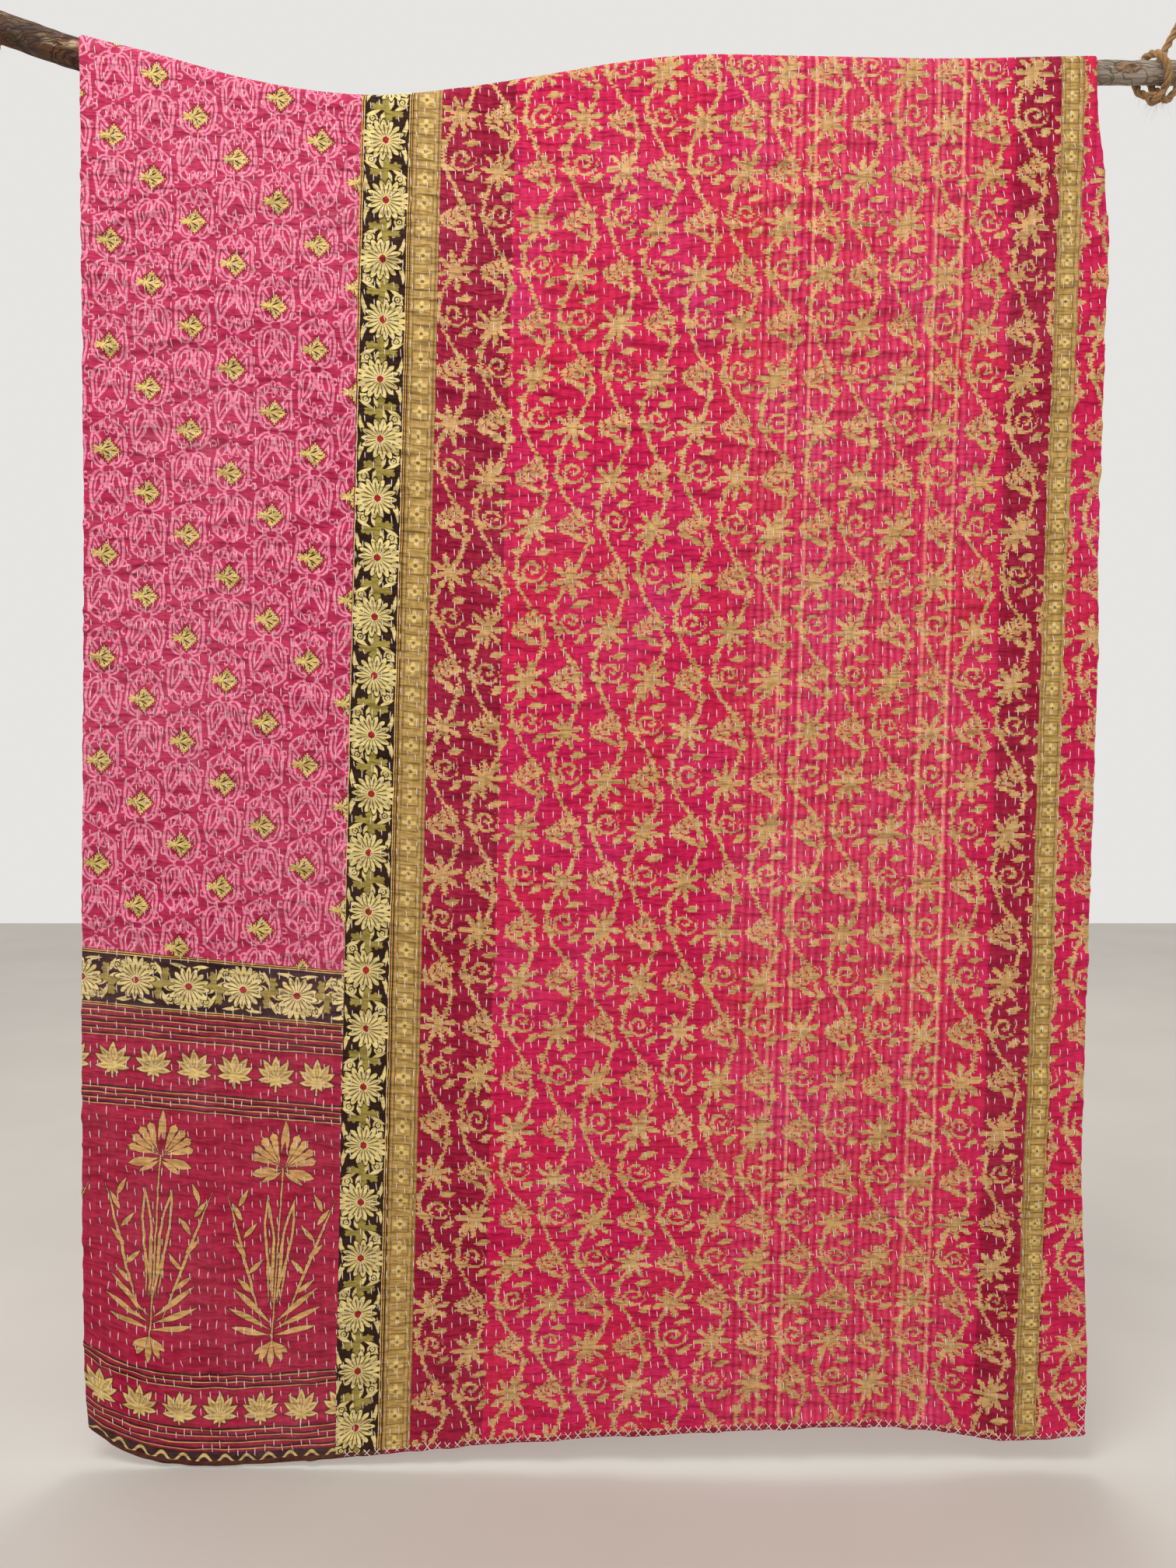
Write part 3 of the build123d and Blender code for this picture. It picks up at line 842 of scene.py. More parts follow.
@dataclass(frozen=True)
class Thread:
    """Twisted sewing thread."""

    name: str
    colour: tuple[int, int, int]

    def material(self) -> bpy.types.Material:
        """The finish, with its twist as fine slanting ridges."""
        shop = Workshop(self.name, cloth=False)
        x, y, z = shop.axes
        twist = (x * 0.6 + z).wave(0.0011).scaled(0.5, 0.5)
        soiled = shop.noise(x * 30, z * 30, y * 30, 2.0)
        colour = shop.dye(*self.colour).under(shop.dye(*(int(c * 0.72) for c in self.colour)), twist * 0.4)
        colour = colour.under(shop.dye(228, 176, 170), soiled.scaled(1.6, -0.6, clamp=True))
        return shop.finish(colour, twist * 0.0001, 0.7, sheen=0.2, specular=0.3)


@dataclass(frozen=True)
class Bark:
    """The branch: smooth brown bark with tan flakes at the left, bare weathered wood to the right."""

    name: str = "weathered_branch"

    def material(self) -> bpy.types.Material:
        """The finish, in space: streaks along X, scales, cracks and dark patches at the left."""
        shop = Workshop(self.name, cloth=False)
        x, y, z = shop.axes
        streak = shop.noise(x * 9, y * 160, z * 160, 4.0, 0.65)
        patch = shop.noise(x * 26, y * 60, z * 60, 3.0, 0.6)
        warp = shop.noise(x * 30, y * 30, z * 30, 2.0).scaled(0.03, -0.015)
        cracks = shop.cells((x + warp) * 14, (z + warp) * 150 + y * 90, "DISTANCE_TO_EDGE")
        crack = (cracks - 0.035).inside(0.05)
        bark = shop.dye(116, 74, 44).under(shop.dye(72, 46, 32), streak.scaled(2.2, -0.6, clamp=True))
        flakes = patch.scaled(7.0, -3.9, clamp=True)
        bark = bark.under(shop.dye(196, 168, 132), flakes * 0.8)
        bark = bark.under(shop.dye(34, 26, 24), crack * 0.85)
        grain = shop.noise(x * 5, y * 260, z * 260, 3.0, 0.7)
        bare = shop.dye(172, 158, 142).under(shop.dye(112, 98, 84), grain.scaled(2.6, -0.9, clamp=True))
        bare = bare.under(shop.dye(74, 58, 46), (cracks - 0.02).inside(0.03) * 0.7)
        knot_x, knot_z = (x - 0.797) * (1 / 0.021), (z + 0.359) * (1 / 0.0095)
        ring = length_of(knot_x, knot_z)
        front = y.scaled(-60, -0.35, clamp=True)
        bare = bare.under(shop.dye(150, 100, 58), (ring - 0.9).inside(0.3) * front)
        bare = bare.under(shop.dye(52, 34, 24), (abs(ring - 0.95) - 0.10).inside(0.2) * front)
        core = (length_of(knot_x - 0.35, knot_z) - 0.30).inside(0.2)
        bare = bare.under(shop.dye(40, 26, 20), core * front)
        colour = bark.under(bare, x.scaled(1.6, 0.45, clamp=True))
        leaning = (z - x * 0.30 + y * 1.5).wave(0.11, 0.4).scaled(0.5, 0.35, clamp=True)
        dark = leaning * x.scaled(-4.0, -1.4, clamp=True)
        colour = colour.under(shop.dye(58, 50, 44), dark * patch.scaled(1.2, 0.1, clamp=True))
        relief = streak * 0.0012 + flakes * 0.0007 + crack * -0.0016 + grain * 0.0006
        return shop.finish(colour, relief, patch.scaled(0.3, 0.62), specular=0.3)


@dataclass(frozen=True)
class EndGrain:
    """The branch's sawn ends: growth rings and radial checks."""

    name: str = "sawn_end"

    def material(self) -> bpy.types.Material:
        """The finish, with rings about the pith of each end."""
        shop = Workshop(self.name, cloth=True)
        u, v, _ = shop.axes
        wobble = shop.noise(u * 80, v * 80, 0.0, 2.0).scaled(0.005, -0.0025)
        radius = length_of(u, v) + wobble
        rings = radius.wave(0.0024).scaled(0.5, 0.5)
        check = (abs((v.math("ARCTAN2", u) * 2.5).math("SINE")) - 0.05).inside(0.05)
        colour = shop.dye(168, 132, 92).under(shop.dye(112, 78, 50), rings)
        colour = colour.under(shop.dye(60, 42, 30), check * (radius * 60).math("MINIMUM", 1.0))
        return shop.finish(colour, rings * 0.0003 + check * -0.0006, 0.8, specular=0.25)


@dataclass(frozen=True)
class Jute:
    """Hairy brown rope: golden crests, dark fibres between the strands."""

    name: str = "jute_rope"
    light: tuple[int, int, int] = (186, 144, 92)
    dark: tuple[int, int, int] = (92, 62, 40)

    def material(self) -> bpy.types.Material:
        """The finish, on cloth coordinates that run round and along a strand."""
        shop = Workshop(self.name, cloth=True)
        u, v, _ = shop.axes
        fibre = shop.noise((u + v * 0.5) * 1500, v * 90, 0.0, 3.0, 0.6)
        clump = shop.noise(u * 200, v * 60, 4.0, 2.0)
        colour = shop.dye(*self.light).under(shop.dye(*self.dark), fibre.scaled(2.0, -0.55, clamp=True))
        colour = colour.under(shop.dye(214, 180, 128), clump.scaled(2.5, -1.2, clamp=True) * 0.6)
        return shop.finish(colour, fibre * 0.0006, 0.86, sheen=0.15, specular=0.25)


@dataclass(frozen=True)
class ZincPlate:
    """The hooks' plated steel, dulled, with fine scratches."""

    name: str = "zinc_plated_steel"

    def material(self) -> bpy.types.Material:
        """The finish, in space."""
        shop = Workshop(self.name, cloth=False)
        x, y, z = shop.axes
        dull = shop.noise(x * 160, y * 160, z * 160, 3.0)
        scratch = shop.noise(x * 900, y * 900, z * 60, 2.0)
        colour = shop.dye(176, 178, 180).under(shop.dye(128, 126, 120), dull)
        return shop.finish(colour, scratch * 0.00005, dull.scaled(0.35, 0.22), metal=1.0)


# ---------------------------------------------------------------- the pole

@dataclass
class Pole:
    """The branch pole: an uneven round swept along its line."""

    left: float = -0.985
    right: float = 0.905
    radius_left: float = 0.0246
    radius_right: float = 0.0172
    rings: int = 560
    sides: int = 64
    bark_depth: float = 0.0022

    def height(self, x: np.ndarray) -> np.ndarray:
        """Height of the pole's centre at x."""
        return smooth(POLE_LINE, x / MM) * MM

    def radius(self, x: np.ndarray) -> np.ndarray:
        """The pole's radius, falling evenly from left to right."""
        share = (x - self.left) / (self.right - self.left)
        return self.radius_left + (self.radius_right - self.radius_left) * share

    def surface(self, x: np.ndarray, turn: np.ndarray) -> np.ndarray:
        """A point for each place along and round the pole.

        The radius is taken in from the true one by long humps, scales and two old branch scars.
        """
        high, deep = np.cos(turn), np.sin(turn)
        lumps = 0.5 + 0.25 * ripple(x, turn, 0.16, 3.0, 1) + 0.25 * ripple(x, turn, 0.035, 1.1, 2)
        flutes = np.abs(ripple(x, turn, 0.30, 0.55, 3))
        inset = self.bark_depth * np.clip(0.75 * lumps + 0.25 * flutes, 0, 1.25)
        scar = np.hypot((x - 0.797) / 0.019, (turn + 1.35) / 0.50)
        inset = inset + 0.0016 * np.exp(-(scar - 0.8)**2 / 0.06) - 0.0006 * np.exp(-scar**2 / 0.2)
        scar = np.hypot((x + 0.86) / 0.03, (turn + 1.0) / 0.6)
        inset = inset + 0.0015 * np.exp(-(scar - 0.9)**2 / 0.08)
        r = self.radius(x) - np.maximum(inset, -0.0003)
        return np.stack([x, r * deep, self.height(x) + r * high], axis=-1)

    def build(self) -> None:
        """Make the branch with its two sawn ends."""
        x, turn = np.meshgrid(np.linspace(self.left, self.right, self.rings),
                              np.linspace(-math.pi, math.pi, self.sides, endpoint=False), indexing="ij")
        body = self.surface(x, turn)
        caps, cap_uv, cap_faces = [], [], []
        start = self.rings * self.sides
        for end, way in ((0, 1), (self.rings - 1, -1)):
            rim = body[end]
            middle = rim.mean(axis=0)
            shares = np.linspace(1, 0.02, 7)[1:, None, None]
            inner = middle + (rim - middle) * shares
            rows = np.concatenate([rim[None], inner])
            faces = grid_faces(len(rows), self.sides, ring=True) + start
            cap_faces.append(faces[:, ::-1] if way > 0 else faces)
            caps.append(rows)
            cap_uv.append((rows - middle)[..., 1:])
            start += rows.shape[0] * self.sides
        points = np.concatenate([body.reshape(-1, 3), *(c.reshape(-1, 3) for c in caps)])
        side_uv = np.stack([x, turn], axis=-1).reshape(-1, 2)
        uv = np.concatenate([side_uv, *(c.reshape(-1, 2) for c in cap_uv)])
        side = grid_faces(self.rings, self.sides, ring=True)[:, ::-1]
        faces = np.concatenate([side, *cap_faces])
        slots = np.concatenate([np.zeros(len(side)), np.ones(len(faces) - len(side))])
        closing = [[int(start_at + k) for k in range(self.sides)][::w] for start_at, w in
                   ((self.rings * self.sides + 6 * self.sides, 1), (start - self.sides, -1))]
        slots = np.concatenate([slots, [1, 1]])
        branch = make_mesh("branch", points, faces, [Bark().material(), EndGrain().material()], uv, slots,
                           extra=closing)
        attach(branch, "pole_and_ropes")
        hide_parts("branch_pole")
        LOG.info("branch: %d faces", len(branch.data.polygons))


# ---------------------------------------------------------------- ropes

@dataclass
class Rope:
    """A three-strand rope of one doubled length: round the pole, over the hook and round again."""

    name: str
    route: Points
    knot_at: tuple[float, float, float]
    length: float
    diameter: float = 0.012
    lay: float = 0.040
    strands: int = 3
    sides: int = 9
    fibres: int = 420
    material: bpy.types.Material | None = None

    def centreline(self) -> np.ndarray:
        """Points read off the route's own smooth curve."""
        curve = bpy.data.curves.new(self.name + "_line", "CURVE")
        curve.dimensions = "3D"
        spline = curve.splines.new("NURBS")
        spline.points.add(len(self.route) - 1)
        for point, place in zip(spline.points, self.route):
            point.co = (*(c * MM for c in place), 1.0)
        spline.order_u = 3
        spline.use_endpoint_u = True
        curve.resolution_u = 10
        holder = bpy.data.objects.new(self.name + "_line", curve)
        bpy.context.scene.collection.objects.link(holder)
        mesh = bpy.data.meshes.new_from_object(holder)
        points = np.zeros(len(mesh.vertices) * 3)
        mesh.vertices.foreach_get("co", points)
        bpy.data.objects.remove(holder)
        bpy.data.meshes.remove(mesh)
        return points.reshape(-1, 3)

    @staticmethod
    def even(points: np.ndarray, gap: float) -> np.ndarray:
        """The same line with its points an even distance apart."""
        run = np.concatenate([[0], np.cumsum(np.linalg.norm(np.diff(points, axis=0), axis=1))])
        places = np.linspace(0, run[-1], max(int(run[-1] / gap), 8))
        return np.stack([np.interp(places, run, points[:, k]) for k in range(3)], axis=1)

    @staticmethod
    def frames(points: np.ndarray) -> tuple[np.ndarray, np.ndarray, np.ndarray]:
        """Along, side and up directions at each point, carried along with the least twist."""
        along = np.gradient(points, axis=0)
        along /= np.linalg.norm(along, axis=1, keepdims=True)
        side = np.zeros_like(points)
        seed = np.cross(along[0], (0.3, 0.9, 0.2))
        side[0] = seed / np.linalg.norm(seed)
        for k in range(1, len(points)):
            turned = side[k - 1] - along[k] * (side[k - 1] @ along[k])
            side[k] = turned / np.linalg.norm(turned)
        return along, side, np.cross(along, side)

    def twisted(self, line: np.ndarray, radius: float) -> tuple[np.ndarray, np.ndarray, np.ndarray]:
        """Strands wound round a line.

        Each strand's centre turns about the line once per lay length; round it goes a circle whose
        radius grows and shrinks a little along the way.

        Args:
            line: the centreline's points.
            radius: the rope's radius.

        Returns:
            Points, faces and cloth coordinates.
        """
        _, side, up = self.frames(line)
        run = np.concatenate([[0], np.cumsum(np.linalg.norm(np.diff(line, axis=0), axis=1))])
        all_points, all_faces, all_uv = [], [], []
        taper = np.clip(np.minimum(run, run[-1] - run) / 0.006, 0.25, 1.0)
        for k in range(self.strands):
            turn = 2 * math.pi * (run / self.lay + k / self.strands)
            centre = line + radius * 0.47 * (side * np.cos(turn)[:, None] + up * np.sin(turn)[:, None])
            round_ = np.linspace(0, 2 * math.pi, self.sides, endpoint=False)[None, :]
            thick = radius * 0.50 * taper * (1 + 0.07 * ripple(run, run * 0, 0.02, 1.0, 40 + k))
            ring = (centre[:, None] + thick[:, None, None] * (side[:, None] * np.cos(round_)[..., None]
                                                             + up[:, None] * np.sin(round_)[..., None]))
            first = sum(len(p) for p in all_points)
            all_faces.append(grid_faces(len(line), self.sides, ring=True)[:, ::-1] + first)
            all_points.append(ring.reshape(-1, 3))
            uv = np.stack([np.broadcast_to(round_ * radius * 0.5, ring.shape[:2]),
                           np.broadcast_to(run[:, None], ring.shape[:2])], axis=-1)
            all_uv.append(uv.reshape(-1, 2))
        return np.concatenate(all_points), np.concatenate(all_faces), np.concatenate(all_uv)

    def hairs(self, line: np.ndarray, count: int, seed: int, reach: float) -> tuple[np.ndarray, np.ndarray]:
        """Loose fibres: thin three-sided curved spikes that leave the rope at a slant.

        Args:
            line: points to grow from.
            count: how many fibres.
            seed: which set.
            reach: longest fibre.

        Returns:
            Points and faces.
        """
        rng = np.random.default_rng(SEED * 100 + seed)
        along, side, up = self.frames(line)
        at = rng.integers(0, len(line), count)
        turn = rng.uniform(0, 2 * math.pi, count)[:, None]
        out = side[at] * np.cos(turn) + up[at] * np.sin(turn)
        slant = along[at] * rng.uniform(-1.6, 1.6, (count, 1))
        droop = np.array([0.0, 0.0, -1.0])
        long = rng.uniform(0.25, 1.0, (count, 1)) * reach
        rows = np.linspace(0, 1, 5)
        middle = [line[at] + out * self.diameter * 0.42 + (out * 0.55 + slant * 0.55) * long * t
                  + droop * long * 0.5 * t * t for t in rows]
        middle = np.stack(middle, axis=1)
        spread = np.array([[0, 1, 0], [0.87, -0.5, 0.3], [-0.87, -0.5, -0.3]])
        thin = 0.00016 * (1.05 - rows)[None, :, None, None]
        points = middle[:, :, None, :] + thin * spread[None, None]
        faces = grid_faces(5, 3, ring=True)
        faces = (faces[None] + (np.arange(count) * 15)[:, None, None]).reshape(-1, 4)
        return points.reshape(-1, 3), faces

    def knot(self) -> tuple[np.ndarray, np.ndarray, np.ndarray]:
        """The bulge under the pole: the doubled rope tucked over and under itself, a closed trefoil.

        The trefoil's place at angle t is (sin t + 2 sin 2t, cos t - 2 cos 2t, -sin 3t), flattened.
        """
        t = np.linspace(0, 2 * math.pi, 150)
        shape = np.stack([(np.sin(t) + 2 * np.sin(2 * t)) * 0.0047, (np.cos(t) - 2 * np.cos(2 * t)) * 0.0028,
                          -np.sin(3 * t) * 0.0042], axis=1)
        return self.twisted(np.array(self.knot_at) * MM + shape, self.diameter * 0.40)

    def build(self) -> None:
        line = self.even(self.centreline(), 0.0028)
        points, faces, uv = self.twisted(line, self.diameter / 2)
        side = self.name.split("_")[0]
        rope = make_mesh(f"{side}_rope_strands", points, faces, [self.material], uv)
        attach(rope, "pole_and_ropes")
        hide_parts(self.name)
        points, faces = self.hairs(line, self.fibres, 5, 0.016)
        hairs = make_mesh(f"{side}_rope_fibres", points, faces, [self.material], points[:, :2])
        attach(hairs, "pole_and_ropes")
        points, faces, uv = self.knot()
        tail, tail_faces = self.hairs(points[::40], 110, 9, 0.024)
        faces = np.concatenate([faces, tail_faces + len(points)])
        knot = make_mesh(f"{side}_rope_knot", np.concatenate([points, tail]), faces, [self.material],
                         np.concatenate([uv, tail[:, :2]]))
        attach(knot, "pole_and_ropes")
        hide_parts(f"{side}_knot")
        exit_at = tuple(c * MM for c in self.route[0])
        LOG.info("%s: %d faces, %d fibres", self.name, len(rope.data.polygons), self.fibres)


# ---------------------------------------------------------------- the quilt

class Side(Enum):
    """Which way a part of the quilt hangs from the ridge of the pole."""

    FRONT = -1
    BACK = 1


@dataclass
class Drape:
    """The surface that the quilt lies on: up over the pole and straight down on both sides."""

    pole: Pole
    width: float = 1.502
    length: float = 2.286
    gap: float = 0.0008
    thick: float = 0.0030
    crease: float = -0.431
    hem_low: float = -2.437

    def hem(self, x: np.ndarray, side: Side) -> np.ndarray:
        """Height of the hem at x: the measured one in front, the rest of the cloth's length behind."""
        front = self.hem_low + smooth(HEM_RISE, (x + self.width / 2) / self.width) * MM
        if side is Side.FRONT:
            return front
        top = self.pole.height(x)
        over = math.pi * (self.pole.radius(x) + self.gap + self.thick / 2)
        return top - (self.length - (top - front) - over)

    def edge(self, z: np.ndarray, share: float) -> np.ndarray:
        """Place across of the quilt's left (share 0) or right (share 1) edge at height z."""
        return smooth(RIGHT_EDGE if share else LEFT_EDGE, z / MM) * MM

    def folds(self, x: np.ndarray, z: np.ndarray, side: Side, crimped: bool = True) -> np.ndarray:
        """How far the cloth stands out from its plane.

        The layers share the broad folds; the small crimps only lift the outer cloths, which the
        stitches pucker, so that no layer under them shows through.

        Slow swells, creased wrinkles that lie mostly level, upright pleats in the vine cloth, one long
        level fold and a curl at the lower left corner, all fading out at the pole. Just below the pole
        nothing dips inwards, so that the quilt lifts off past the branch.
        """
        fall = step(z, self.pole.height(x) - 0.005, self.pole.height(x) - 0.16)
        away = step(z, self.crease, -1.1)
        swell = 0.0035 * ripple(x, z, 0.62, 1.7, 10) * away
        level = ripple(x, z, 0.17, 0.052, 11, 20)
        crimps = 0.0027 * (1 - 1.3 * np.abs(level)) + 0.0012 * ripple(x, z, 0.050, 0.021, 12, 22)
        slack = 0.0034 * (1 - 1.5 * np.abs(ripple(x + 0.35 * z, z, 0.21, 0.075, 13)))
        slack = slack * (0.35 + 0.65 * step(z, -1.15, -0.55))
        pleats = 0.0011 * (1 + np.sin(2 * math.pi * x / 0.031 + 0.7 * ripple(x, z, 0.4, 0.5, 14)))
        pleats = pleats * step(x, 0.19, 0.27) * step(x, 0.62, 0.54)
        long_fold = 0.0032 * np.exp(-((z + 1.665 + 0.03 * (x - 0.2)) / 0.010)**2) * step(x, -0.22, 0.0)
        small = np.maximum(crimps, 0) + pleats + long_fold
        out = swell + fall * (slack + (small if crimped else 0.0))
        low = step(z, self.pole.height(x) - 0.30, self.pole.height(x) - 0.42)
        out = np.where(out < 0, out * low, out) + 0.0011 * fall * (1 - low)
        if side is Side.FRONT:
            corner = step(x, -0.66, -0.752) * step(z, -2.34, -2.44)
            out = out - 0.016 * corner
        return out * np.where(z < self.pole.height(x), 1.0, 0.0) * (1.0 if side is Side.FRONT else 0.7)

    def lay(self, x: np.ndarray, down: np.ndarray, out: np.ndarray, side: Side,
            crimped: bool = True) -> np.ndarray:
        """Points of the cloth.

        A quarter turn about the pole from the ridge, then straight down; out is added along the
        surface's outward direction.

        Args:
            x: place along the pole.
            down: distance from the ridge along the cloth.
            out: height above the quilt's underside.
            side: in front of the pole or behind it.
            crimped: whether the small crimps lift it.

        Returns:
            Places in metres.
        """
        base = self.pole.radius(x) + self.gap
        middle = base + self.thick / 2
        quarter = math.pi / 2 * middle
        turn = np.clip(down / middle, 0, math.pi / 2)
        past = np.maximum(down - quarter, 0)
        top = self.pole.height(x)
        level = top + middle * np.cos(turn) - past
        r = base + out + self.folds(x, level, side, crimped) * (past > 0)
        y = side.value * r * np.sin(turn)
        return np.stack([x, y, top + r * np.cos(turn) - past], axis=-1)

    def reach(self, x: np.ndarray, side: Side) -> np.ndarray:
        """Length of the cloth from the ridge to the hem at x."""
        middle = self.pole.radius(x) + self.gap + self.thick / 2
        return math.pi / 2 * middle + self.pole.height(x) - self.hem(x, side)

    def across(self, left: "Line", right: "Line", share: np.ndarray, part: np.ndarray,
               side: Side) -> tuple[np.ndarray, np.ndarray]:
        """Place along the pole and distance down the cloth of a grid between two leaning lines.

        Args:
            left, right: place across as a function of height.
            share: 0 at the left line and 1 at the right.
            part: 0 at the ridge and 1 at the hem.
            side: front or back.

        Returns:
            x and the distance down from the ridge.
        """
        x = left(np.full_like(share, -0.4)) * (1 - share) + right(np.full_like(share, -0.4)) * share
        for _ in range(2):
            z = self.pole.height(x) * (1 - part) + self.hem(x, side) * part
            x = left(z) * (1 - share) + right(z) * share
        return x, self.reach(x, side) * part


Line = Callable[[np.ndarray], np.ndarray]


@dataclass
class Quilt:
    """The quilt's cloths, its filling, backing, hems and stitches."""

    drape: Drape
    seam_top: float = -0.255
    seam_lean: float = 0.054
    edge_top: float = 0.731
    edge_lean: float = 0.061
    braid_width: float = 0.042
    row_gap: float = 0.0134
    stitch: float = 0.0122
    stitch_gap: float = 0.0262
    hem_height: float = 0.009
    materials: dict[str, bpy.types.Material] = field(default_factory=dict)

    def lean(self, z: np.ndarray) -> np.ndarray:
        """0 at the crease and above, 1 at the hem."""
        return np.clip((self.drape.crease - z) / (self.drape.crease - self.drape.hem_low), 0, 1)

    def seam(self, z: np.ndarray) -> np.ndarray:
        """The seam between the paisley cloth and the vine cloth."""
        return self.seam_top - self.seam_lean * self.lean(z)

    def strip_seam(self, z: np.ndarray) -> np.ndarray:
        """The seam between the vine cloth and the edge strip."""
        return self.edge_top - self.edge_lean * self.lean(z)

    def left_edge(self, z: np.ndarray) -> np.ndarray:
        """The quilt's left edge."""
        return self.drape.edge(z, 0)

    def right_edge(self, z: np.ndarray) -> np.ndarray:
        """The quilt's right edge."""
        return self.drape.edge(z, 1)

    def above_hem(self, x: np.ndarray, z: np.ndarray) -> np.ndarray:
        """Height above the front hem along the weft: the hem's own line low down, a plain slope above."""
        hem = self.drape.hem(x, Side.FRONT)
        slope = -2.401 - 0.038 * np.clip((x + 0.75) / 0.44, 0, 1.4)
        low = step(z, -1.95, -2.33)
        return z - (hem * low + slope * (1 - low))

    def sheet(self, name: str, left: Line, right: Line, columns: Sequence[float], side: Side, out: float,
              rows: int, materials: Sequence[str], slots: np.ndarray | None = None,
              origin: Line | None = None, roll: tuple[bool, bool] = (False, False),
              face: int = 1) -> bpy.types.Object:
        """One cloth of the quilt, from the ridge to the hem.

        Args:
            name: the piece's name.
            left, right: its two sides.
            columns: shares across at which it has points.
            side: front or back.
            out: height of its surface above the quilt's underside.
            rows: points down.
            materials: names of its finishes.
            slots: finish number of each column of faces.
            origin: the line that its cloth coordinates are counted from.
            roll: whether its left and right sides turn round the quilt's edge.
            face: 1 if it faces out, -1 if it faces the pole.

        Returns:
            The object.
        """
        share, part = np.meshgrid(np.asarray(columns, float), np.linspace(0, 1, rows), indexing="xy")
        x, down = self.drape.across(left, right, share, part, side)
        reach = self.drape.reach(x, side)
        down = down * (1 - self.hem_height * 0.55 / reach)
        lift = np.full_like(x, out)
        slots = np.zeros(len(columns) - 1) if slots is None else slots
        turn = np.linspace(0, math.pi, 6)[1:]
        r = (out - 0.0002) / 2
        extra_x, extra_out = r - r * np.sin(turn), r + r * np.cos(turn) + 0.0002
        if roll[0]:
            x = np.concatenate([x[:, :1] + extra_x[::-1], x[:, :1] + r, x[:, 1:]], axis=1)
            lift = np.concatenate([np.broadcast_to(extra_out[::-1], (rows, len(turn))), lift], axis=1)
            down = np.concatenate([np.repeat(down[:, :1], len(turn), axis=1), down], axis=1)
            slots = np.concatenate([np.full(len(turn), slots[0]), slots])
        if roll[1]:
            x = np.concatenate([x[:, :-1], x[:, -1:] - r, x[:, -1:] - extra_x], axis=1)
            lift = np.concatenate([lift, np.broadcast_to(extra_out, (rows, len(turn)))], axis=1)
            down = np.concatenate([down, np.repeat(down[:, -1:], len(turn), axis=1)], axis=1)
            slots = np.concatenate([slots, np.full(len(turn), slots[-1])])
        points = self.drape.lay(x, down, lift, side, out >= self.drape.thick)
        flat_z = self.drape.pole.height(x) - down
        u = x - (origin or left)(np.minimum(flat_z, self.drape.crease))
        v = self.above_hem(x, flat_z + 0.04)
        uv = np.stack([u, v], axis=-1)
        faces = grid_faces(rows, x.shape[1])
        flip = (side is Side.FRONT) == (face > 0)
        faces = faces[:, ::-1] if flip else faces
        piece = make_mesh(name, points, faces, [self.materials[m] for m in materials], uv,
                          np.tile(slots, rows - 1))
        self.hang(piece)
        LOG.info("%s: %d faces", name, len(faces))
        return piece

    def hang(self, piece: bpy.types.Object) -> None:
        """Bake a piece's placement into its points."""
        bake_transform(piece)

    def columns(self, width: float, gap: float, marks: Sequence[float] = ()) -> np.ndarray:
        """Shares across at an even gap, with a column exactly at each mark (in metres)."""
        stops = [0.0, *marks, width]
        runs = [np.linspace(a, b, max(int(round((b - a) / gap)), 1), endpoint=False)
                for a, b in zip(stops, stops[1:])]
        return np.concatenate([*runs, [width]]) / width

    def stitches(self, name: str, side: Side, out: float, face: int, material: str,
                 phase: float) -> bpy.types.Object:
        """Rows of running stitches down the quilt.

        Each stitch is a low arch of three faces by two: its ends dip into the cloth and its middle
        stands proud. The rows wander a little and each one starts where it likes.

        Args:
            name: the piece's name.
            side: front or back.
            out: height of the cloth under them.
            face: 1 on the outside, -1 on the pole's side.
            material: name of the thread's finish.
            phase: share of the stitch gap by which they are moved down.

        Returns:
            The object.
        """
        rng = np.random.default_rng(SEED + 31)
        rows = int(self.drape.width / self.row_gap) - 1
        count = int((2.09 if side is Side.FRONT else 0.36) / self.stitch_gap)
        row, number = np.meshgrid(np.arange(rows), np.arange(count), indexing="ij")
        begin = rng.uniform(0, 1, (rows, 1))
        long = self.stitch * rng.uniform(0.72, 1.15, row.shape)
        start = (number + begin + phase + rng.normal(0, 0.06, row.shape)) * self.stitch_gap
        sway = 0.0012 * ripple(row * 0.31, number * 0.1, 1.0, 1.3, 33) + rng.normal(0, 0.0004, row.shape)
        slant = rng.normal(0.0006, 0.0007, row.shape)
        share = (row + 0.9) / (rows + 0.8)
        t = np.array([0.0, 0.25, 0.75, 1.0])
        wide = np.array([0.35, 1.0, 1.0, 0.35]) * 0.00062
        rise = np.array([-0.0004, 0.0007, 0.0007, -0.0004])
        down = start[..., None] + long[..., None] * t
        span = self.drape.across(self.left_edge, self.right_edge, share, np.full_like(share, 0.5), side)[0]
        x = np.broadcast_to(span[..., None], down.shape)
        for _ in range(2):
            z = self.drape.pole.height(x) - down + 0.04
            x = self.left_edge(z) * (1 - share[..., None]) + self.right_edge(z) * share[..., None]
        x = x + sway[..., None] + slant[..., None] * (t - 0.5)
        keep = (down[..., -1] < self.drape.reach(x[..., 0], side) - 0.010) & (down[..., 0] > 0.0)
        x, down = x[keep], down[keep]
        lateral = np.array([-1.0, 0.0, 1.0])
        x3 = x[:, :, None] + wide[None, :, None] * lateral
        d3 = np.repeat(down[:, :, None], 3, axis=2)
        crown = np.array([0.0, 0.00035, 0.0])
        o3 = out + face * (rise[None, :, None] + crown - 0.0003 * (np.abs(lateral))) + x3 * 0
        points = self.drape.lay(x3, d3, o3, side, face > 0)
        faces = grid_faces(4, 3)
        faces = (faces[None] + (np.arange(len(points)) * 12)[:, None, None]).reshape(-1, 4)
        flip = (side is Side.FRONT) == (face > 0)
        faces = faces[:, ::-1] if flip else faces
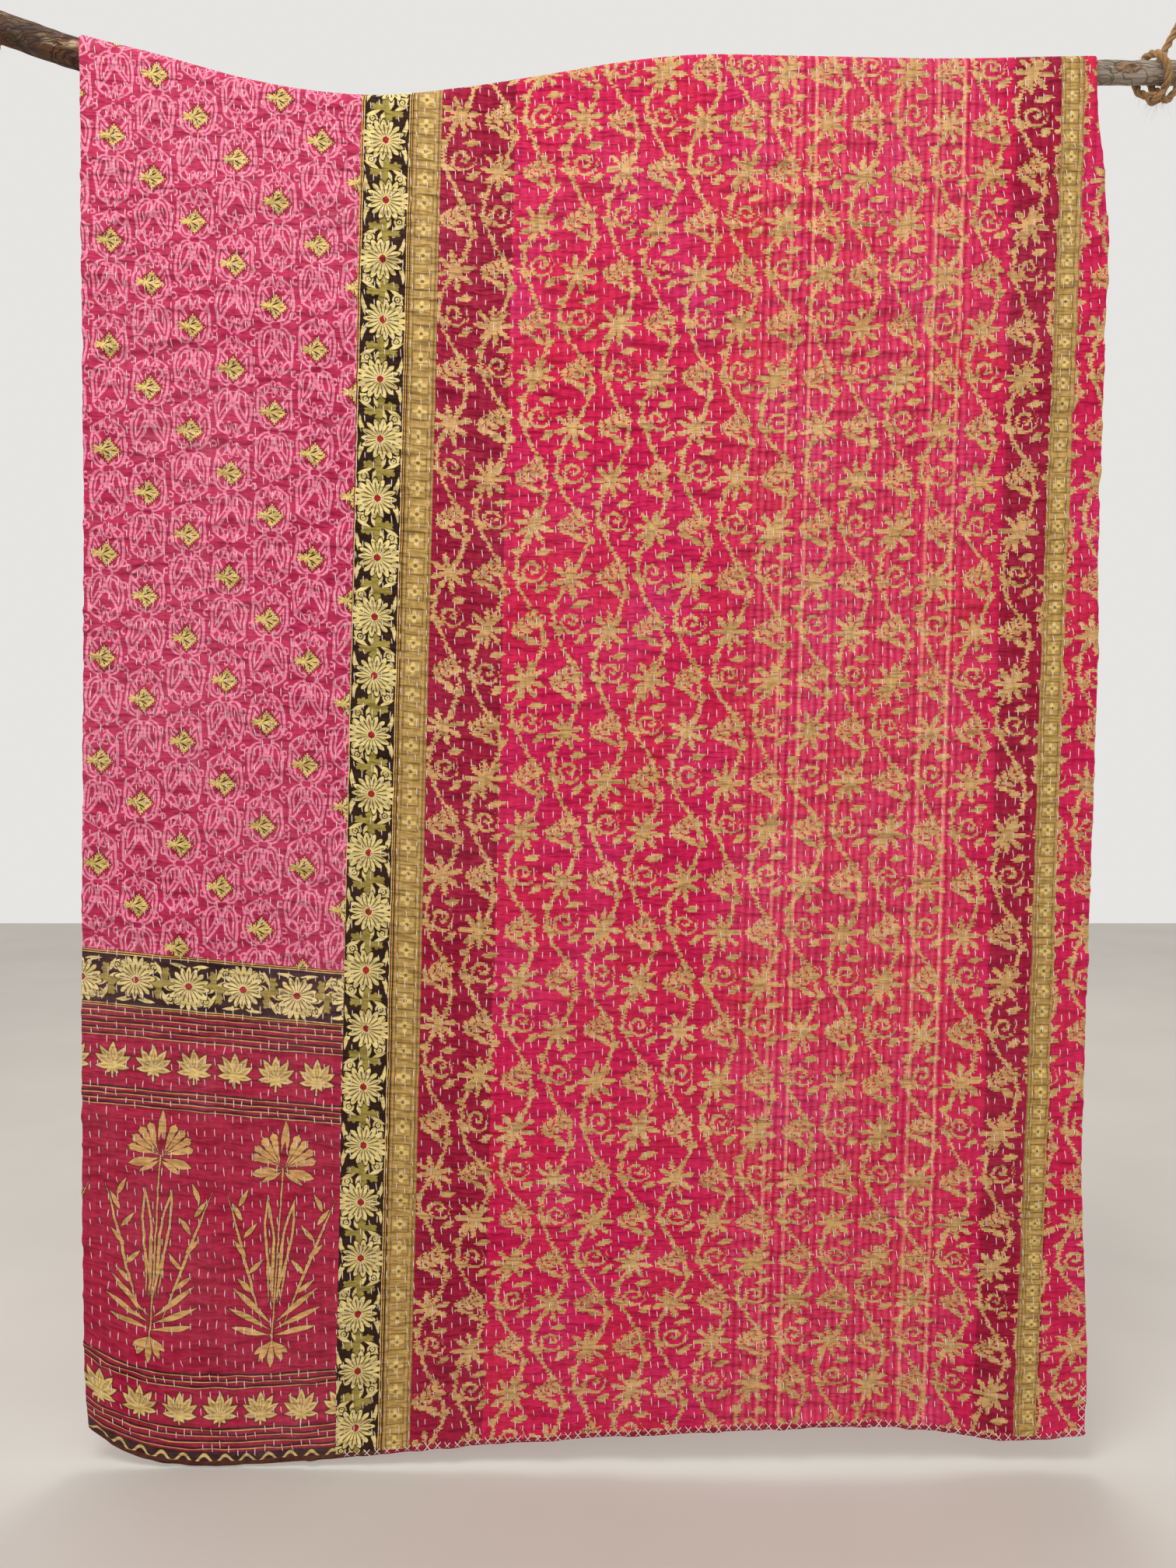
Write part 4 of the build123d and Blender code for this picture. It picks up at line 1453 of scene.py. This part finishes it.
        piece = make_mesh(name, points, faces, [self.materials[material]])
        self.hang(piece)
        LOG.info("%s: %d stitches", name, len(points))
        return piece

    def turned_hem(self, name: str, side: Side, body: str) -> bpy.types.Object:
        """The rolled edge along the hem: a flattened oval that wavers and thickens a little on its way."""
        x = np.linspace(0.0, 1.0, 420)
        z_mid = self.drape.hem(np.linspace(-0.75, 0.742, 420), side) + self.hem_height / 2
        left, right = self.left_edge(z_mid[:1]), self.right_edge(z_mid[-1:])
        x = left + (right - left) * x
        z = self.drape.hem(x, side) + self.hem_height / 2
        turn = np.linspace(0, 2 * math.pi, 12, endpoint=False)
        swell = 1 + 0.10 * ripple(x, x * 0, 0.022, 1.0, 60)
        tall = self.hem_height / 2 * 0.98 * np.clip(np.minimum(x - x[0], x[-1] - x) / 0.004 + 0.35, 0, 1)
        middle = self.drape.pole.radius(x) + self.drape.gap + self.drape.thick / 2
        out = middle + self.drape.folds(x, z, side)
        y = side.value * (out[:, None] + 0.0023 * swell[:, None] * np.sin(turn))
        height = z[:, None] + tall[:, None] * np.cos(turn)
        points = np.stack([np.broadcast_to(x[:, None], y.shape), y, height], axis=-1)
        from_seam = np.broadcast_to((x - self.seam(z))[:, None], y.shape)
        uv = np.stack([from_seam, height - (z[:, None] - 0.0045)], axis=-1)
        faces = grid_faces(420, 12, ring=True)
        faces = faces if side is Side.FRONT else faces[:, ::-1]
        caps = [list(range(12)), [419 * 12 + k for k in range(12)][::-1]]
        caps = [c[::-1] for c in caps] if side is Side.FRONT else caps
        slots = np.where(x[:-1] < self.seam(z[:-1]), 0, 1)
        slots = np.where(x[:-1] > self.strip_seam(z[:-1]), 2, slots)
        slots = np.concatenate([np.repeat(slots, 12), [0, 2]])
        cottons = [self.materials[m] for m in ("hem_dark", "hem_crimson", "hem_rose")]
        piece = make_mesh(name, points, faces, cottons, uv, slots, extra=caps)
        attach(piece, body)
        return piece

    def crosses(self) -> bpy.types.Object:
        """Pale cross stitches over the hem from the braid rightwards and up the right edge's foot."""
        rng = np.random.default_rng(SEED + 5)
        along = np.arange(-0.36, 0.738, 0.0150)
        low = self.drape.hem(along, Side.FRONT) + 0.0065
        up = np.arange(0.012, 0.085, 0.0150)
        along = np.concatenate([along, self.right_edge(-2.40 + up) - 0.006])
        low = np.concatenate([low, self.drape.hem(np.full(len(up), 0.742), Side.FRONT) + up])
        all_x, all_z = [], []
        for way in (1, -1):
            ends = np.array([-0.5, -0.25, 0.25, 0.5]) * rng.uniform(0.0075, 0.0100, (len(along), 1))
            all_x.append(along[:, None] + ends)
            all_z.append(low[:, None] + way * ends * 1.05)
        x, z = np.concatenate(all_x), np.concatenate(all_z)
        lateral = np.array([-1.0, 0.0, 1.0]) * 0.00055
        slant = np.sign(z[:, 3:4] - z[:, :1])[..., None]
        x3, z3 = x[:, :, None] + lateral * 0.7, z[:, :, None] - lateral * 0.7 * slant
        rise = np.array([-0.0006, 0.0010, 0.0010, -0.0006])[None, :, None] + np.array([0.0, 0.0004, 0.0])
        base = self.drape.pole.radius(x3) + self.drape.gap + self.drape.thick + 0.0008
        y = -(base + self.drape.folds(x3, z3, Side.FRONT) + rise)
        points = np.stack([x3, y, z3], axis=-1)
        faces = grid_faces(4, 3)
        count = len(points)
        faces = (faces[None] + (np.arange(count) * 12)[:, None, None]).reshape(-1, 4)
        piece = make_mesh("hem_cross_stitches", points, faces[:, ::-1], [self.materials["thread"]])
        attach(piece, "front_drop")
        return piece

    def build(self) -> None:
        self.materials = {
            "paisley": PaisleyPrint().material(), "border": FloralBorder().material(),
            "vine": VineJacquard().material(), "braid": GoldBraid("gold_braid", self.braid_width).material(),
            "band": GoldBraid("gold_band", 0.034, 0.952, 0.030).material(),
            "backing": PlainCotton(
                "backing_cotton", (176, 44, 60), (146, 28, 50), (214, 120, 120)).material(),
            "filling": PlainCotton(
                "filling_cotton", (214, 206, 190), (190, 180, 160), (235, 230, 220)).material(),
            "hem_dark": PlainCotton("hem_dark_print", (92, 40, 34), (54, 22, 22), (190, 150, 90)).material(),
            "hem_rose": PlainCotton("hem_rose", (196, 40, 88), (140, 20, 54), (228, 176, 120)).material(),
            "hem_crimson": PlainCotton(
                "hem_crimson", (168, 20, 60), (120, 6, 40), (210, 150, 100)).material(),
            "thread": Thread("pale_thread", (238, 224, 216)).material(),
        }
        out = self.drape.thick
        for side, rows, gap in ((Side.FRONT, 500, 0.0041), (Side.BACK, 60, 0.0062)):
            face = side.name.lower()
            saddle = side is Side.FRONT
            reach = float(self.drape.reach(np.array([0.0]), side)[0])
            width = self.seam_top - float(self.left_edge(np.array([-0.4]))[0])
            columns = self.columns(width, gap, (width - 0.077,))
            slots = (columns[:-1] * width > width - 0.0775).astype(float)
            self.patch(f"paisley_sari_{face}", self.left_edge, self.seam, columns, side, out, rows,
                       ("paisley", "border"), slots, self.seam, (True, False), "paisley_cloth",
                       "paisley_cotton", width, reach, saddle)
            width = self.edge_top - self.seam_top
            columns = self.columns(width, gap * 1.22, (self.braid_width, width - 0.034))
            slots = np.where(columns[:-1] * width < self.braid_width - 0.0005, 0, 1)
            slots = np.where(columns[:-1] * width > width - 0.0345, 2, slots).astype(float)
            self.patch(f"vine_sari_{face}", self.seam, self.strip_seam, columns, side, out, rows,
                       ("braid", "vine", "band"), slots, self.seam, (False, False), "vine_cloth",
                       "vine_jacquard", width, reach, saddle)
            columns = np.linspace(0, 1, 9)
            self.patch(f"edge_sari_{face}", self.strip_seam, self.right_edge, columns, side, out, rows,
                       ("vine",), None, self.seam, (False, True), "edge_strip", "vine_jacquard",
                       0.046 if saddle else 0.021, reach, saddle)
            for part, level, gap_in, way, node, slot in (
                    ("cotton_filling", 0.0012, 0.010, 1, "inner_layer", "inner_cotton"),
                    ("backing_sari", 0.0002, 0.0066, -1, "backing", "backing_cotton")):
                columns = self.columns(self.drape.width, gap_in)
                self.patch(f"{part}_{face}", self.left_edge, self.right_edge, columns, side, level,
                           max(int(reach / gap_in), 8), ("filling" if way > 0 else "backing",), None, None,
                           (False, False), node, slot, self.drape.width, reach, saddle, way)
            hem = self.turned_hem(f"turned_hem_{face}", side, f"{face}_drop")
            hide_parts(f"hem_{face}")
            running = self.stitches(f"running_stitches_{face}", side, out + 0.0001, 1, "thread", 0.0)
            self.stitches(f"reverse_stitches_{face}", side, 0.0001, -1, "thread", 0.5)
        self.crosses()

    def patch(self, name: str, left: Line, right: Line, columns: np.ndarray, side: Side, out: float,
              rows: int, materials: Sequence[str], slots: np.ndarray | None, origin: Line | None,
              roll: tuple[bool, bool], node: str, slot: str, width: float, reach: float, saddle: bool,
              way: int = 1) -> None:
        """One cloth, standing for its solids, which it hides (see sheet for the rest).

        Args:
            node: stem of the solids it stands for.
            slot: not used.
            width, reach: its flat size; not used.
            saddle: whether it also stands for the solid over the pole.
            way: 1 if it faces out, -1 if it faces the pole.
        """
        piece = self.sheet(name, left, right, columns, side, out, rows, materials, slots, origin, roll, way)
        nodes = [f"{node}_{side.name.lower()}"] + ([f"{node}_saddle"] if saddle else [])
        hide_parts(*nodes)


# ---------------------------------------------------------------- hooks, room and camera

@dataclass
class Hooks:
    """The two screw hooks, which keep their own solids."""

    names: tuple[str, str] = ("left_hook", "right_hook")

    def build(self) -> None:
        """Give both hooks their plated finish."""
        zinc = ZincPlate().material()
        for name in self.names:
            for place in bpy.data.objects[name].material_slots:
                place.material = zinc
            LOG.info("%s: finish set", name)


@dataclass
class Room:
    """A plain pale floor, a plain ground of light and the camera."""

    lens: float = 27.04
    camera_at: tuple[float, float, float] = (0.0, -1.771, -1.39)
    pitch: float = 0.951

    def floor(self) -> None:
        """A wide pale floor just under the hem."""
        half = 6.0
        corners = ((-half, -half), (half, -half), (half, half), (-half, half))
        points = np.array([(x, y, FLOOR_Z) for x, y in corners])
        shop = Workshop("pale_floor", cloth=False)
        x, y, _ = shop.axes
        colour = shop.dye(206, 200, 192).under(shop.dye(190, 184, 176), shop.noise(x * 2, y * 2, 0.0, 3.0))
        floor = make_mesh("floor", points, np.array([[0, 1, 2, 3]]), [shop.finish(colour, None, 0.75)])

    def lights(self) -> None:
        """Soft light from above and a little in front, with weaker lamps before and behind."""
        for name, place, turn, size, power in (
                ("key", (-0.8, -1.6, 1.5), (30, 0, -20), 1.4, 58.0),
                ("fill", (1.6, -3.4, -1.2), (86, 0, 25), 2.4, 16.0),
                ("rear", (0.6, 2.4, 1.3), (-42, 0, 12), 1.8, 40.0)):
            light = bpy.data.lights.new(name, "AREA")
            light.size, light.energy = size, power
            lamp = bpy.data.objects.new(name, light)
            lamp.location = place
            lamp.rotation_euler = [math.radians(a) for a in turn]
            bpy.context.scene.collection.objects.link(lamp)
        world = bpy.data.worlds.new("studio")
        world.use_nodes = True
        ground = world.node_tree.nodes["Background"]
        ground.inputs[0].default_value = (0.90, 0.89, 0.87, 1.0)
        ground.inputs[1].default_value = 0.88
        bpy.context.scene.world = world

    def camera(self) -> None:
        """A level camera a little above the quilt's middle, tipped slightly down."""
        data = bpy.data.cameras.new("camera")
        data.lens, data.sensor_width = self.lens, 36.0
        camera = bpy.data.objects.new("camera", data)
        camera.location = self.camera_at
        camera.rotation_euler = (math.radians(90 - self.pitch), 0, 0)
        bpy.context.scene.collection.objects.link(camera)
        bpy.context.scene.camera = camera

    def build(self) -> None:
        """Make the floor, the lights and the camera."""
        self.camera()
        self.floor()
        self.lights()
        bpy.context.scene.view_settings.view_transform = "Standard"


def main() -> None:
    """Load the frame, build every sub-assembly in order and note the sizes."""
    logging.basicConfig(level=logging.INFO, format="%(relativeCreated)d ms %(message)s")
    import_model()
    Room().build()
    jute = Jute().material()
    for name, route, knot, length in (("left_rope", LEFT_ROUTE, (-915, 0, -327), 0.847),
                                      ("right_rope", RIGHT_ROUTE, (849, 0, -397), 0.982)):
        Rope(name, route, knot, length, material=jute).build()
    pole = Pole()
    pole.build()
    Quilt(Drape(pole)).build()
    Hooks().build()


if __name__ == "__main__":
    main()
